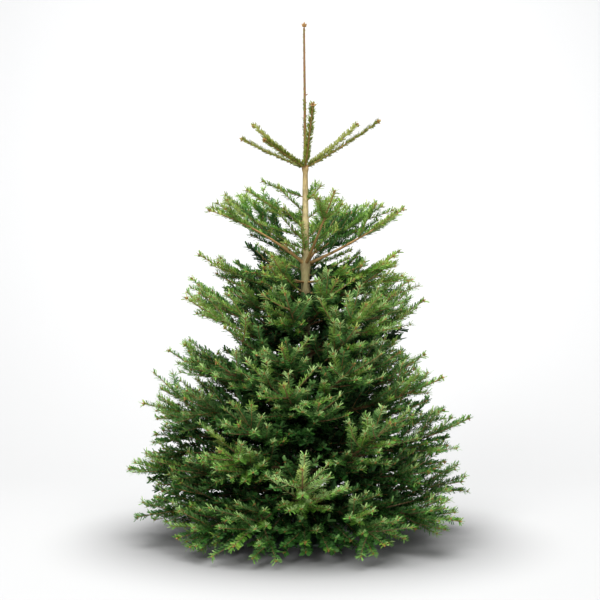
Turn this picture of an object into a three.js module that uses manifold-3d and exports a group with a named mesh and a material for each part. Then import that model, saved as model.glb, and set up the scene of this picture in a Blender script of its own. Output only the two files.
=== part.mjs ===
// A cut fir Christmas tree, about 2 m tall, standing in a plain metal stand.
// Millimetres, +Z up. The origin is the middle of the stand's flat underside.
// +X is the viewer's right and -Y is towards the viewer. Azimuths run from +X towards +Y, in degrees.
//
// The trunk is one tapering stem from its flat cut to the bud on the leader. Boughs leave it in whorls.
// A bough is bare to its first fork, where its foliage starts. Every other mass of foliage starts at the trunk.
// A mass is one stem that forks by a seeded rule, and every twig is a slim core that needles stand out of.

import * as THREE from "three";
import Module from "manifold-3d";

const wasm = await Module();
wasm.setup();

// Overall
const TREE_HEIGHT = 2000;
const CLEARANCE = 0.3;
const FLOOR_CLEARANCE = 14;
const SEED = 20611;

// Stand
const STAND_RADIUS = 190;
const STAND_FLOOR = 10;
const CUP_HEIGHT = 140;
const CUP_INNER = 62;
const CUP_WALL = 6;
const RIB_COUNT = 6;
const RIB_THICKNESS = 6;
const SCREW_COUNT = 3;
const SCREW_HEIGHT = 112;
const SCREW_RADIUS = 5;
const SCREW_REACH = 108;
const BOSS_RADIUS = 12;
const BOSS_LENGTH = 16;
const KNOB_RADIUS = 15;
const KNOB_LENGTH = 12;
const STAND_SEGMENTS = 36;

// Trunk
const BUTT_HEIGHT = STAND_FLOOR + CLEARANCE;
const BUTT_RADIUS = 37;
const FLARE_TOP = 150;
const STEM_RADIUS = 32;
const CROWN_HEIGHT = 1428;
const CROWN_RADIUS = 9.5;
const LEADER_RADIUS = 6.2;
const LEADER_TIP_RADIUS = 3.6;
const TOP_BUD_RADIUS = 9;
const TOP_BUD_LENGTH = 34;
const TRUNK_BOW = 6;
const TRUNK_SIDES = 10;
const COLLAR_SWELL = 1.16;
const COLLAR_HALF = 11;

// Forking rule, shared by every mass of foliage
const NODE_SPACING = 106;
const FORK_ANGLE = 48;
const FORK_ANGLE_SPREAD = 14;
const LATERAL_SHARE = 0.7;
const LATERAL_BASE = 52;
const ROLL_LEAN = 24;
const ROLL_SPREAD = 30;
const TWIG_SPACING = 98;
const TWIG_SHARE = 0.62;
const TWIG_BASE = 42;
const SWEEP_FORWARD = 0.34;
const SWEEP_UP = 0.2;
const SHORTER = [1, 0.86, 0.72, 0.58];
const LEAST_TWIG = 74;

// Needles, larger than life, because each row of teeth stands for a whole spray
const NEEDLE_REACH = 42;
const TOP_NEEDLE_REACH = 17;
const TIER_LENGTH = 98;
const TOP_TIER_LENGTH = 40;
const NARROWER = [1, 0.82, 0.64];
const LEAN_FORWARD = 0.12;
const TIP_SHARE = 0.45;
const TIP_CORE_SHARE = 0.6;
const FORK_NEEDLING = { from: 0, bare: 0, reach: NEEDLE_REACH, core: 4.2, tier: TIER_LENGTH };
const TWIG_NEEDLING = { from: 0, bare: 0, reach: 34, core: 3.4, tier: TIER_LENGTH };
const SPACE_GAP = 8;
const FORKED_LATERAL = 200;

// Whorls from the top down. Each bough has an azimuth, a length along its curve, and its pitch at the trunk
// and at its tip. bare is the length of the bough's own limb, or 0 where the foliage starts at the trunk.
// Where it starts at the trunk, needlesFrom is the length of stem without needles and clear is the least distance
// from the trunk to a fork. root is the radius at the trunk.
const WHORLS = [
  {
    name: "top",
    height: CROWN_HEIGHT,
    bare: 0,
    needlesFrom: 22,
    root: 3,
    single: true,
    azimuths: [41, 136, 178, 233, 276, 344],
    lengths: [337, 345, 268, 262, 325, 333],
    pitchIn: [31, 30, 21, 16, 35, 26],
    pitchOut: [39, 38, 28, 20, 42, 34],
  },
  {
    name: "upper",
    height: 1053,
    bare: 190,
    root: 7,
    azimuths: [356, 64, 143, 217, 288],
    lengths: [430, 448, 482, 480, 415],
    pitchIn: [23, 34, 37, 34, 35],
    pitchOut: [36, 33, 31, 13, 40],
  },
  {
    name: "shoulder",
    height: 938,
    bare: 0,
    needlesFrom: 64,
    clear: 130,
    root: 5.5,
    azimuths: [29, 106, 180, 252, 322],
    lengths: [465, 440, 440, 410, 430],
    pitchIn: [12, 10, 8, 8, 8],
    pitchOut: [32, 32, 33, 30, 30],
  },
  {
    name: "middle",
    height: 705,
    bare: 0,
    needlesFrom: 120,
    clear: 190,
    root: 8.5,
    azimuths: [8, 80, 153, 213, 296],
    lengths: [515, 545, 598, 560, 520],
    pitchIn: [13, 20, 22, 14, 12],
    pitchOut: [35, 34, 38, 32, 32],
  },
  {
    name: "waist",
    height: 470,
    bare: 225,
    root: 10.5,
    azimuths: [26, 90, 150, 202, 262, 322],
    lengths: [585, 605, 690, 642, 560, 640],
    pitchIn: [14, 14, 13, -3, 4, 6],
    pitchOut: [31, 30, 27, 15, 28, 25],
  },
  {
    name: "lower",
    height: 290,
    bare: 0,
    needlesFrom: 90,
    clear: 170,
    root: 10,
    azimuths: [354, 54, 114, 182, 240, 300],
    lengths: [655, 620, 625, 672, 600, 625],
    pitchIn: [4, 2, 2, -6, -3, 1],
    pitchOut: [27, 22, 22, 2, 24, 38],
  },
  {
    name: "skirt",
    height: 190,
    bare: 0,
    needlesFrom: 110,
    clear: 180,
    root: 9,
    azimuths: [14, 86, 158, 222, 269, 328],
    lengths: [648, 625, 655, 610, 640, 655],
    pitchIn: [-8, -8, -8, -13, -20, -11],
    pitchOut: [8, 12, 14, -8, 50, 0],
  },
  {
    name: "hem",
    height: 166,
    bare: 0,
    needlesFrom: 120,
    clear: 190,
    root: 7,
    azimuths: [52, 122, 198, 246, 297],
    lengths: [600, 600, 650, 600, 600],
    pitchIn: [-3, -3, -1, -2, -2],
    pitchOut: [-12, -12, -8, -14, -14],
  },
];

const UP = new THREE.Vector3(0, 0, 1);
const radians = THREE.MathUtils.degToRad;
const mix = THREE.MathUtils.lerp;

// A number from 0 to 1 that depends only on the seed and on the whole numbers given.
function chance(...keys) {
  let hash = SEED;
  for (const key of keys) {
    hash = Math.imul(hash ^ (key + 1), 0x9e3779b1) >>> 0;
    hash = (hash ^ (hash >>> 15)) >>> 0;
  }
  hash = Math.imul(hash, 0x85ebca6b) >>> 0;
  return ((hash ^ (hash >>> 13)) >>> 0) / 2 ** 32;
}

// The same, spread evenly about 0 over the given width.
function spread(width, ...keys) {
  return (chance(...keys) - 0.5) * width;
}

// Turns a closed three.js geometry that shares its vertices into a solid.
function solidOf(geometry) {
  return new wasm.Manifold(
    new wasm.Mesh({
      numProp: 3,
      vertProperties: geometry.getAttribute("position").array,
      triVerts: new Uint32Array(geometry.getIndex().array),
    }),
  );
}

function geometryOf(solid) {
  const mesh = solid.getMesh();
  return new THREE.BufferGeometry()
    .setAttribute("position", new THREE.BufferAttribute(mesh.vertProperties, 3))
    .setIndex(new THREE.BufferAttribute(mesh.triVerts, 1));
}

// The largest body of a solid, so that a sealed hollow is filled and loose scrap is dropped.
// The solid is made again from its corners first, which parts whatever only touches at a corner.
function largestBody(solid) {
  const bodies = solidOf(closed(geometryOf(solid))).decompose();
  return bodies.reduce((best, body) => (body.volume() > best.volume() ? body : best));
}

// Whether each edge of a solid lies between just two faces, so that nothing only touches along an edge.
function holdsTogether(solid) {
  const corners = closed(geometryOf(solid)).getIndex().array;
  const uses = new Map();
  for (let face = 0; face < corners.length; face += 3) {
    for (let side = 0; side < 3; side += 1) {
      const ends = [corners[face + side], corners[face + ((side + 1) % 3)]];
      const edge = `${Math.min(...ends)} ${Math.max(...ends)}`;
      uses.set(edge, (uses.get(edge) ?? 0) + 1);
    }
  }
  return [...uses.values()].every((count) => count === 2);
}

// Closes rings of points, each with the same count, into a skin with a flat start. It ends flat or in a point.
function skin(rings, point) {
  const sides = rings[0].length;
  const points = rings.flat();
  const faces = [];
  for (let side = 1; side < sides - 1; side += 1) faces.push(0, side + 1, side);
  for (let ring = 0; ring < rings.length - 1; ring += 1) {
    for (let side = 0; side < sides; side += 1) {
      const next = (side + 1) % sides;
      const low = ring * sides;
      const high = low + sides;
      faces.push(low + side, low + next, high + next);
      faces.push(low + side, high + next, high + side);
    }
  }
  const last = (rings.length - 1) * sides;
  if (point) {
    points.push(point);
    for (let side = 0; side < sides; side += 1) {
      faces.push(last + side, last + ((side + 1) % sides), points.length - 1);
    }
  } else {
    for (let side = 1; side < sides - 1; side += 1) {
      faces.push(last, last + side, last + side + 1);
    }
  }
  return new THREE.BufferGeometry().setFromPoints(points).setIndex(faces);
}

// Two directions across a heading: sideways on the level, and up.
function across(heading) {
  const side = new THREE.Vector3().crossVectors(UP, heading).normalize();
  const rise = new THREE.Vector3().crossVectors(heading, side).normalize();
  return { side, rise };
}

function ringAt(centre, heading, radius, sides, turn) {
  const { side, rise } = across(heading);
  return Array.from({ length: sides }, (_, step) => {
    const angle = turn + (step * 2 * Math.PI) / sides;
    return centre
      .clone()
      .addScaledVector(side, Math.cos(angle) * radius)
      .addScaledVector(rise, Math.sin(angle) * radius);
  });
}

// The trunk's middle at a height: almost upright, with a slight bow.
function trunkMiddle(height) {
  const bow = TRUNK_BOW * Math.sin((Math.PI * height) / TREE_HEIGHT);
  return new THREE.Vector3(bow, bow / 2, height);
}

function trunkRadius(height) {
  if (height < FLARE_TOP) {
    const share = (height - BUTT_HEIGHT) / (FLARE_TOP - BUTT_HEIGHT);
    return mix(BUTT_RADIUS, STEM_RADIUS, Math.sin((share * Math.PI) / 2));
  }
  if (height <= CROWN_HEIGHT) {
    return mix(STEM_RADIUS, CROWN_RADIUS, (height - FLARE_TOP) / (CROWN_HEIGHT - FLARE_TOP));
  }
  const leaderTop = TREE_HEIGHT - TOP_BUD_LENGTH;
  return mix(LEADER_RADIUS, LEADER_TIP_RADIUS, (height - CROWN_HEIGHT) / (leaderTop - CROWN_HEIGHT));
}

// The trunk's skin, grown by a clearance when it is used to cut what meets it.
function trunkSolid(grown) {
  const ring = (height, radius) =>
    Array.from({ length: TRUNK_SIDES }, (_, step) => {
      const angle = (step * 2 * Math.PI) / TRUNK_SIDES;
      return trunkMiddle(height).add(
        new THREE.Vector3(Math.cos(angle), Math.sin(angle), 0).multiplyScalar(radius + grown),
      );
    });
  const leaderTop = TREE_HEIGHT - TOP_BUD_LENGTH;
  const rings = [BUTT_HEIGHT, 45, 90, FLARE_TOP - 5].map((height) => ring(height, trunkRadius(height)));
  for (const whorl of WHORLS.toReversed()) {
    const { height } = whorl;
    const radius = trunkRadius(height);
    rings.push(ring(height - COLLAR_HALF, trunkRadius(height - COLLAR_HALF)));
    rings.push(ring(height, radius * COLLAR_SWELL));
    rings.push(ring(height + COLLAR_HALF, trunkRadius(height + COLLAR_HALF)));
  }
  rings.push(ring(leaderTop, LEADER_TIP_RADIUS));
  rings.push(ring(leaderTop + TOP_BUD_LENGTH * 0.35, TOP_BUD_RADIUS));
  rings.push(ring(leaderTop + TOP_BUD_LENGTH * 0.75, TOP_BUD_RADIUS * 0.6));
  return solidOf(skin(rings, trunkMiddle(TREE_HEIGHT)));
}

// A bough's curve: an upright arc whose pitch goes evenly from the trunk to the tip.
function boughCurve(whorl, index) {
  const length = whorl.lengths[index];
  const first = radians(whorl.pitchIn[index]);
  const bend = radians(whorl.pitchOut[index] - whorl.pitchIn[index]) / length;
  const azimuth = radians(whorl.azimuths[index]);
  const outward = new THREE.Vector3(Math.cos(azimuth), Math.sin(azimuth), 0);
  const start = trunkMiddle(whorl.height);
  return {
    length,
    at(distance) {
      const pitch = first + bend * distance;
      const out = (Math.sin(pitch) - Math.sin(first)) / bend;
      const rise = (Math.cos(first) - Math.cos(pitch)) / bend;
      return start.clone().addScaledVector(outward, out).addScaledVector(UP, rise);
    },
    heading(distance) {
      const pitch = first + bend * distance;
      return outward.clone().multiplyScalar(Math.cos(pitch)).addScaledVector(UP, Math.sin(pitch));
    },
  };
}

// A side twig's curve: it leaves at an angle and sweeps forward and up.
function twigCurve(origin, direction, forward, length) {
  const sweep = forward.clone().multiplyScalar(SWEEP_FORWARD).addScaledVector(UP, SWEEP_UP);
  const at = (distance) =>
    origin
      .clone()
      .addScaledVector(direction, distance)
      .addScaledVector(sweep, (distance * distance) / (2 * length));
  const heading = (distance) =>
    direction.clone().addScaledVector(sweep, distance / length).normalize();
  return { length, at, heading };
}

// A row of needles no wider than its space allows, or nothing where not even short needles fit.
function fittedRow(bough, centre, heading, reach, turn) {
  for (const share of NARROWER) {
    const ring = ringAt(centre, heading, reach * share, 3, turn);
    if (ring.every((point) => inSpace(bough, point))) return ring;
  }
  return null;
}

// A twig with its needles: rows of three teeth that lean forward from a slim core, each row turned half a step.
// Where a row doesn't fit, a stem keeps its bare core and any other twig is given up.
function needledTwig(bough, curve, { from, bare, reach, core, tier }) {
  const start = from + bare;
  const rows = Math.max(1, Math.round((curve.length - start) / tier));
  const step = (curve.length - start) / (rows + TIP_SHARE);
  const rings = [];
  if (bare) rings.push(ringAt(curve.at(from), curve.heading(from), core, 3, Math.PI / 2));
  for (let row = 0; row < rows; row += 1) {
    const turn = Math.PI / 2 + (row % 2) * (Math.PI / 3);
    const near = start + step * Math.max(0, row - LEAN_FORWARD);
    const far = start + step * (row + 1);
    const share = (far - start) / (curve.length - start);
    const slim = core * mix(1, TIP_CORE_SHARE, share);
    const full = reach * Math.sin(mix(0.8, 2.5, share));
    const teeth = fittedRow(bough, curve.at(far), curve.heading(far), full, turn);
    if (!teeth && curve !== bough.curve) return null;
    rings.push(ringAt(curve.at(near), curve.heading(near), slim, 3, turn));
    rings.push(teeth ?? ringAt(curve.at(far), curve.heading(far), slim, 3, turn));
  }
  return { curve, rings, point: curve.at(curve.length) };
}

function distanceToPath(point, path) {
  const nearest = new THREE.Vector3();
  let least = Infinity;
  for (const line of path) {
    line.closestPointToPoint(point, true, nearest);
    least = Math.min(least, nearest.distanceTo(point));
  }
  return least;
}

const PATH_STEPS = 8;
function pathOf(curve) {
  const steps = Array.from({ length: PATH_STEPS + 1 }, (_, step) =>
    curve.at((curve.length * step) / PATH_STEPS),
  );
  return steps.slice(1).map((point, step) => new THREE.Line3(steps[step], point));
}

const boughs = WHORLS.flatMap((whorl, level) =>
  whorl.azimuths.map((_, index) => {
    const curve = boughCurve(whorl, index);
    return { whorl, level, index, curve, path: pathOf(curve) };
  }),
);

// A mass's own space is what lies nearer to its bough than to any other, clear of the floor and the trunk.
function inSpace(bough, point) {
  if (point.z < FLOOR_CLEARANCE) return false;
  const middle = trunkMiddle(point.z);
  const away = Math.hypot(point.x - middle.x, point.y - middle.y);
  if (point.z < TREE_HEIGHT && away < trunkRadius(point.z) * COLLAR_SWELL + SPACE_GAP) return false;
  const own = distanceToPath(point, bough.path);
  return boughs.every(
    (other) => other === bough || distanceToPath(point, other.path) > own + SPACE_GAP,
  );
}

// A side twig that fits in the space, shortened where it must be, or nothing.
function fittedTwig(bough, origin, direction, forward, length, needling) {
  for (const share of SHORTER) {
    if (length * share < LEAST_TWIG) return null;
    const curve = twigCurve(origin, direction, forward, length * share);
    const twig = needledTwig(bough, curve, needling);
    if (twig && inSpace(bough, twig.point)) return twig;
  }
  return null;
}

// The direction of a fork: left or right of the parent's heading, rolled a little out of its plane.
function forkDirection(heading, hand, angle, roll) {
  const { side, rise } = across(heading);
  const sideways = side
    .multiplyScalar(hand * Math.cos(roll))
    .addScaledVector(rise, Math.sin(roll));
  return heading
    .clone()
    .multiplyScalar(Math.cos(angle))
    .addScaledVector(sideways, Math.sin(angle));
}

// The forks of a mass: pairs along its stem, and pairs near the end of the longer ones.
function forksOf(bough) {
  const { whorl, level, index, curve } = bough;
  const forks = [];
  const first = (whorl.bare || whorl.clear) + 14;
  let order = 0;
  for (let node = curve.length - NODE_SPACING; node > first; node -= NODE_SPACING) {
    order += 1;
    for (const hand of [-1, 1]) {
      const key = [level, index, order, hand + 1];
      const angle = radians(FORK_ANGLE + spread(FORK_ANGLE_SPREAD, ...key, 1));
      const lean = hand * (order % 2 ? ROLL_LEAN : -ROLL_LEAN);
      const roll = radians(lean + spread(ROLL_SPREAD, ...key, 2));
      const length = (LATERAL_SHARE * (curve.length - node) + LATERAL_BASE) * (0.88 + 0.24 * chance(...key, 3));
      const heading = curve.heading(node);
      const direction = forkDirection(heading, hand, angle, roll);
      const origin = curve.at(node);
      const fork = fittedTwig(bough, origin, direction, heading, length, FORK_NEEDLING);
      if (!fork) continue;
      forks.push(fork);
      if (fork.curve.length < FORKED_LATERAL) continue;
      const along = fork.curve.length - TWIG_SPACING;
      for (const turn of [-1, 1]) {
        const twigAngle = radians(FORK_ANGLE + spread(FORK_ANGLE_SPREAD, ...key, 4 + turn));
        const twigRoll = radians(spread(ROLL_SPREAD, ...key, 7 + turn));
        const twigHeading = fork.curve.heading(along);
        const twigDirection = forkDirection(twigHeading, turn, twigAngle, twigRoll);
        const twigLength = TWIG_SHARE * TWIG_SPACING + TWIG_BASE;
        const root = fork.curve.at(along);
        const twig = fittedTwig(bough, root, twigDirection, twigHeading, twigLength, TWIG_NEEDLING);
        if (twig) forks.push(twig);
      }
    }
  }
  return forks;
}

// A bough's bare limb, tapering from its root to where its foliage starts.
const LIMB_SIDES = 6;
const LIMB_RINGS = 4;
const LIMB_END_SHARE = 0.68;
function limbSolid(bough, trunkCut) {
  const { whorl, curve } = bough;
  const rings = Array.from({ length: LIMB_RINGS + 1 }, (_, step) => {
    const share = step / LIMB_RINGS;
    const distance = whorl.bare * share;
    const radius = whorl.root * mix(1, LIMB_END_SHARE, share);
    return ringAt(curve.at(distance), curve.heading(distance), radius, LIMB_SIDES, 0);
  });
  return solidOf(skin(rings)).subtract(trunkCut);
}

// A mass of foliage: its stem and all its forks, joined into one body.
function foliageSolid(bough, trunkCut) {
  const { whorl, curve } = bough;
  const stem = needledTwig(bough, curve, {
    from: whorl.bare ? whorl.bare + CLEARANCE : 0,
    bare: whorl.bare ? 0 : whorl.needlesFrom,
    reach: whorl.single ? TOP_NEEDLE_REACH : NEEDLE_REACH,
    core: whorl.root * (whorl.bare ? LIMB_END_SHARE : 1),
    tier: whorl.single ? TOP_TIER_LENGTH : TIER_LENGTH,
  });
  let solid = solidOf(skin(stem.rings, stem.point));
  if (!whorl.single) {
    for (const fork of forksOf(bough)) {
      const joined = solid.add(solidOf(skin(fork.rings, fork.point)));
      if (holdsTogether(joined)) solid = joined;
    }
  }
  if (!whorl.bare) solid = solid.subtract(trunkCut);
  return largestBody(solid);
}

// The stand: a dish with a cup in its middle, ribs between the two, and a boss for each clamp screw.
function revolve(profile) {
  const points = profile.map(([x, y]) => new THREE.Vector2(x, y));
  const lathe = new THREE.LatheGeometry(points, STAND_SEGMENTS);
  return closed(lathe.rotateX(Math.PI / 2));
}

// Keeps only the places of a geometry's corners, merged where they meet, and leaves out faces with no area.
function closed(geometry) {
  const places = geometry.getAttribute("position");
  const found = new Map();
  const points = [];
  const number = Array.from({ length: places.count }, (_, corner) => {
    const point = new THREE.Vector3().fromBufferAttribute(places, corner);
    const key = point.toArray().map((value) => Math.round(value * 1000)).join();
    if (!found.has(key)) found.set(key, points.push(point) - 1);
    return found.get(key);
  });
  const corners = geometry.index ? Array.from(geometry.index.array) : places.array.map((_, k) => k);
  const faces = [];
  for (let face = 0; face < corners.length; face += 3) {
    const [a, b, c] = [0, 1, 2].map((step) => number[corners[face + step]]);
    if (a !== b && b !== c && c !== a) faces.push(a, b, c);
  }
  return new THREE.BufferGeometry().setFromPoints(points).setIndex(faces);
}

// A cylinder that lies along the azimuth at the screws' height, between two distances from the middle.
function radialCylinder(azimuth, radius, near, far, sides) {
  const cylinder = new THREE.CylinderGeometry(radius, radius, far - near, sides);
  cylinder.rotateZ(-Math.PI / 2).translate((near + far) / 2, 0, SCREW_HEIGHT).rotateZ(azimuth);
  return solidOf(closed(cylinder));
}

function screwAzimuth(index) {
  return radians(90) + (index * 2 * Math.PI) / SCREW_COUNT;
}

function standSolid() {
  const outer = CUP_INNER + CUP_WALL;
  const profile = [
    [0, 0],
    [STAND_RADIUS - 5, 0],
    [STAND_RADIUS, 4],
    [STAND_RADIUS - 2, 10],
    [STAND_RADIUS - 10, 13],
    [outer + 36, 16],
    [outer + 6, 26],
    [outer, 38],
    [outer, CUP_HEIGHT - 8],
    [outer + 5, CUP_HEIGHT - 3],
    [outer + 3, CUP_HEIGHT],
    [CUP_INNER + 1, CUP_HEIGHT],
    [CUP_INNER, CUP_HEIGHT - 3],
    [CUP_INNER, STAND_FLOOR],
    [0, STAND_FLOOR],
  ];
  let solid = solidOf(revolve(profile));
  if (solid.volume() < 0) throw new Error("the stand's profile runs the wrong way");
  for (let rib = 0; rib < RIB_COUNT; rib += 1) {
    const outline = new THREE.Shape([
      new THREE.Vector2(outer - 3, 9),
      new THREE.Vector2(STAND_RADIUS - 22, 9),
      new THREE.Vector2(STAND_RADIUS - 22, 18),
      new THREE.Vector2(outer + 16, 62),
      new THREE.Vector2(outer - 3, 98),
    ]);
    const plate = new THREE.ExtrudeGeometry(outline, { depth: RIB_THICKNESS, bevelEnabled: false });
    plate.translate(0, 0, -RIB_THICKNESS / 2).rotateX(Math.PI / 2);
    plate.rotateZ(screwAzimuth(0) + radians(30) + (rib * 2 * Math.PI) / RIB_COUNT);
    solid = solid.add(solidOf(closed(plate)));
  }
  for (let index = 0; index < SCREW_COUNT; index += 1) {
    const azimuth = screwAzimuth(index);
    solid = solid.add(radialCylinder(azimuth, BOSS_RADIUS, outer - 3, outer + BOSS_LENGTH, 12));
  }
  for (let index = 0; index < SCREW_COUNT; index += 1) {
    const azimuth = screwAzimuth(index);
    solid = solid.subtract(
      radialCylinder(azimuth, SCREW_RADIUS + CLEARANCE, CUP_INNER - 5, outer + BOSS_LENGTH + 5, 10),
    );
  }
  return largestBody(solid);
}

// A clamp screw: its end stands just clear of the trunk, and a round knob turns it from outside.
function screwSolid(index, trunkCut) {
  const azimuth = screwAzimuth(index);
  const knob = radialCylinder(azimuth, KNOB_RADIUS, SCREW_REACH - KNOB_LENGTH, SCREW_REACH, 10);
  const shank = radialCylinder(azimuth, SCREW_RADIUS, 0, SCREW_REACH, 10);
  return largestBody(shank.add(knob).subtract(trunkCut));
}

const material = (color, roughness, metalness) =>
  new THREE.MeshStandardMaterial({ color, roughness, metalness });
const bark = material(0x9a8260, 0.9, 0);
const limbBark = material(0x8a6238, 0.85, 0);
const needles = material(0x2f5a26, 0.6, 0);
const standPaint = material(0x1f3a2a, 0.45, 0.3);
const screwSteel = material(0xa8aaac, 0.35, 0.9);

const tree = new THREE.Group();
function place(name, solid, finish) {
  const mesh = new THREE.Mesh(geometryOf(solid), finish);
  mesh.name = name;
  tree.add(mesh);
}

const trunkCut = trunkSolid(CLEARANCE);
place("trunk", trunkSolid(0), bark);
place("stand_base", standSolid(), standPaint);
for (let index = 0; index < SCREW_COUNT; index += 1) {
  place(`stand_screw_${index + 1}`, screwSolid(index, trunkCut), screwSteel);
}
for (const bough of boughs) {
  const { whorl, index } = bough;
  if (whorl.bare) place(`${whorl.name}_bough_${index + 1}`, limbSolid(bough, trunkCut), limbBark);
  place(`${whorl.name}_foliage_${index + 1}`, foliageSolid(bough, trunkCut), needles);
}

export default tree;
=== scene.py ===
"""A cut fir Christmas tree in a plain metal stand, dressed for rendering.

The trunk, boughs, twigs, needles and buds grow by the rule of the part's own source, which is
written again here and carried on to finer twigs within the same reach. The rule works in
millimetres, and every mesh is made in metres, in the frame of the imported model: +Z up, the viewer
on the side of -Y.
"""

import logging
import math
from dataclasses import dataclass, field
from enum import Enum

import bpy
import numpy as np
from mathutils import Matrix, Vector


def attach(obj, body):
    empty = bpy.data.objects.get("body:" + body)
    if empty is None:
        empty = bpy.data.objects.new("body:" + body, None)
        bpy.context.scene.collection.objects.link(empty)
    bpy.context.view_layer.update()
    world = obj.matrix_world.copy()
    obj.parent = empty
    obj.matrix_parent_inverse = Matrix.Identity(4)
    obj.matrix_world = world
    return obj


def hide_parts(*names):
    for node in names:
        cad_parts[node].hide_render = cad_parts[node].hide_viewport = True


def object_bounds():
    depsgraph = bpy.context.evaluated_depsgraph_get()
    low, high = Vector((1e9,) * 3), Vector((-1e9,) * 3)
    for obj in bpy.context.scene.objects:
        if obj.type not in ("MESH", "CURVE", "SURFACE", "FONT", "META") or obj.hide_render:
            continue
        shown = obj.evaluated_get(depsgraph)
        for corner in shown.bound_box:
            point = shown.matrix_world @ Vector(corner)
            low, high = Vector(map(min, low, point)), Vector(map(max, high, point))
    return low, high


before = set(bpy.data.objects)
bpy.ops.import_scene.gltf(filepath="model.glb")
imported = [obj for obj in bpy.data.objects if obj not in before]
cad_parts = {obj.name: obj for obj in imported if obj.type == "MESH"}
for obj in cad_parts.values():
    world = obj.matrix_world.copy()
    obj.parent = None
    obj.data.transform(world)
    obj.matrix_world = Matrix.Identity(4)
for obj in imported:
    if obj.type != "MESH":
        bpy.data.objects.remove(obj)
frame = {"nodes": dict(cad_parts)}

LOG = logging.getLogger("fir_tree")
CAD_BOX = [[float(value) for value in corner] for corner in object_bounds()]
SEED = 20611
METRES = 0.001
UP = np.array([0.0, 0.0, 1.0])

# The tree's own sizes, the same as in the part's source.
TREE_HEIGHT = 2000.0
BUTT_HEIGHT = 10.3
BUTT_RADIUS = 37.0
FLARE_TOP = 150.0
STEM_RADIUS = 32.0
CROWN_HEIGHT = 1428.0
CROWN_RADIUS = 9.5
LEADER_RADIUS = 6.2
LEADER_TIP_RADIUS = 3.6
LEADER_TOP = 1966.0
TRUNK_BOW = 6.0
COLLAR_SWELL = 1.16
FLOOR_CLEARANCE = 14.0

# The forking rule, the same as in the part's source.
NODE_SPACING = 106.0
FORK_ANGLE = 48.0
FORK_ANGLE_SPREAD = 14.0
LATERAL_SHARE = 0.7
LATERAL_BASE = 52.0
ROLL_LEAN = 24.0
ROLL_SPREAD = 30.0
TWIG_SPACING = 98.0
TWIG_LENGTH = 0.62 * TWIG_SPACING + 42.0
SWEEP_FORWARD = 0.34
SWEEP_UP = 0.2
SHORTER = (1.0, 0.86, 0.72, 0.58)
NARROWER = (1.0, 0.82, 0.64)
LEAST_TWIG = 74.0
TIER_LENGTH = 98.0
TIP_SHARE = 0.45
FORK_REACH = 42.0
TWIG_REACH = 34.0
FORKED_LATERAL = 200.0
SPACE_GAP = 8.0
PATH_STEPS = 8
FORK_START = 14.0
LENGTH_CHANCE = (0.88, 0.24)
ROW_PHASES = (0.8, 2.5)

# A twig's swelling where it leaves its parent, how many radii that reaches, and its taper's power.
TWIG_COLLAR = 0.35
TWIG_COLLAR_REACH = 2.5
TWIG_TAPER = 0.85

# Where the tree is looked at from: the distance in front of the trunk, and the height.
VIEW_DISTANCE = 4500.0
VIEW_HEIGHT = 917.4


@dataclass(frozen=True)
class Whorl:
    """One ring of boughs: where it leaves the trunk, and each bough's bearing, length and pitch.

    `root` is a limb's radius, `bare` the length that shows without foliage, `clear` the length
    without forks, and `single` marks a ring of plain shoots.
    """

    name: str
    height: float
    azimuths: tuple[float, ...]
    lengths: tuple[float, ...]
    pitch_in: tuple[float, ...]
    pitch_out: tuple[float, ...]
    root: float
    bare: float = 0.0
    clear: float = 0.0
    single: bool = False


WHORLS = (
    Whorl(
        "top", 1428, (41, 136, 178, 233, 276, 344), (337, 345, 268, 262, 325, 333),
        (31, 30, 21, 16, 35, 26), (39, 38, 28, 20, 42, 34), root=3, single=True,
    ),
    Whorl(
        "upper", 1053, (356, 64, 143, 217, 288), (430, 448, 482, 480, 415),
        (23, 34, 37, 34, 35), (36, 33, 31, 13, 40), root=7, bare=190,
    ),
    Whorl(
        "shoulder", 938, (29, 106, 180, 252, 322), (465, 440, 440, 410, 430),
        (12, 10, 8, 8, 8), (32, 32, 33, 30, 30), root=5.5, clear=130,
    ),
    Whorl(
        "middle", 705, (8, 80, 153, 213, 296), (515, 545, 598, 560, 520),
        (13, 20, 22, 14, 12), (35, 34, 38, 32, 32), root=8.5, clear=190,
    ),
    Whorl(
        "waist", 470, (26, 90, 150, 202, 262, 322), (585, 605, 690, 642, 560, 640),
        (14, 14, 13, -3, 4, 6), (31, 30, 27, 15, 28, 25), root=10.5, bare=225,
    ),
    Whorl(
        "lower", 290, (354, 54, 114, 182, 240, 300), (655, 620, 625, 672, 600, 625),
        (4, 2, 2, -6, -3, 1), (27, 22, 22, 2, 24, 38), root=10, clear=170,
    ),
    Whorl(
        "skirt", 190, (14, 86, 158, 222, 269, 328), (648, 625, 655, 610, 640, 655),
        (-8, -8, -8, -13, -20, -11), (8, 12, 14, -8, 50, 0), root=9, clear=180,
    ),
    Whorl(
        "hem", 166, (52, 122, 198, 246, 297), (600, 600, 650, 600, 600),
        (-3, -3, -1, -2, -2), (-12, -12, -8, -14, -14), root=7, clear=190,
    ),
)

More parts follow.
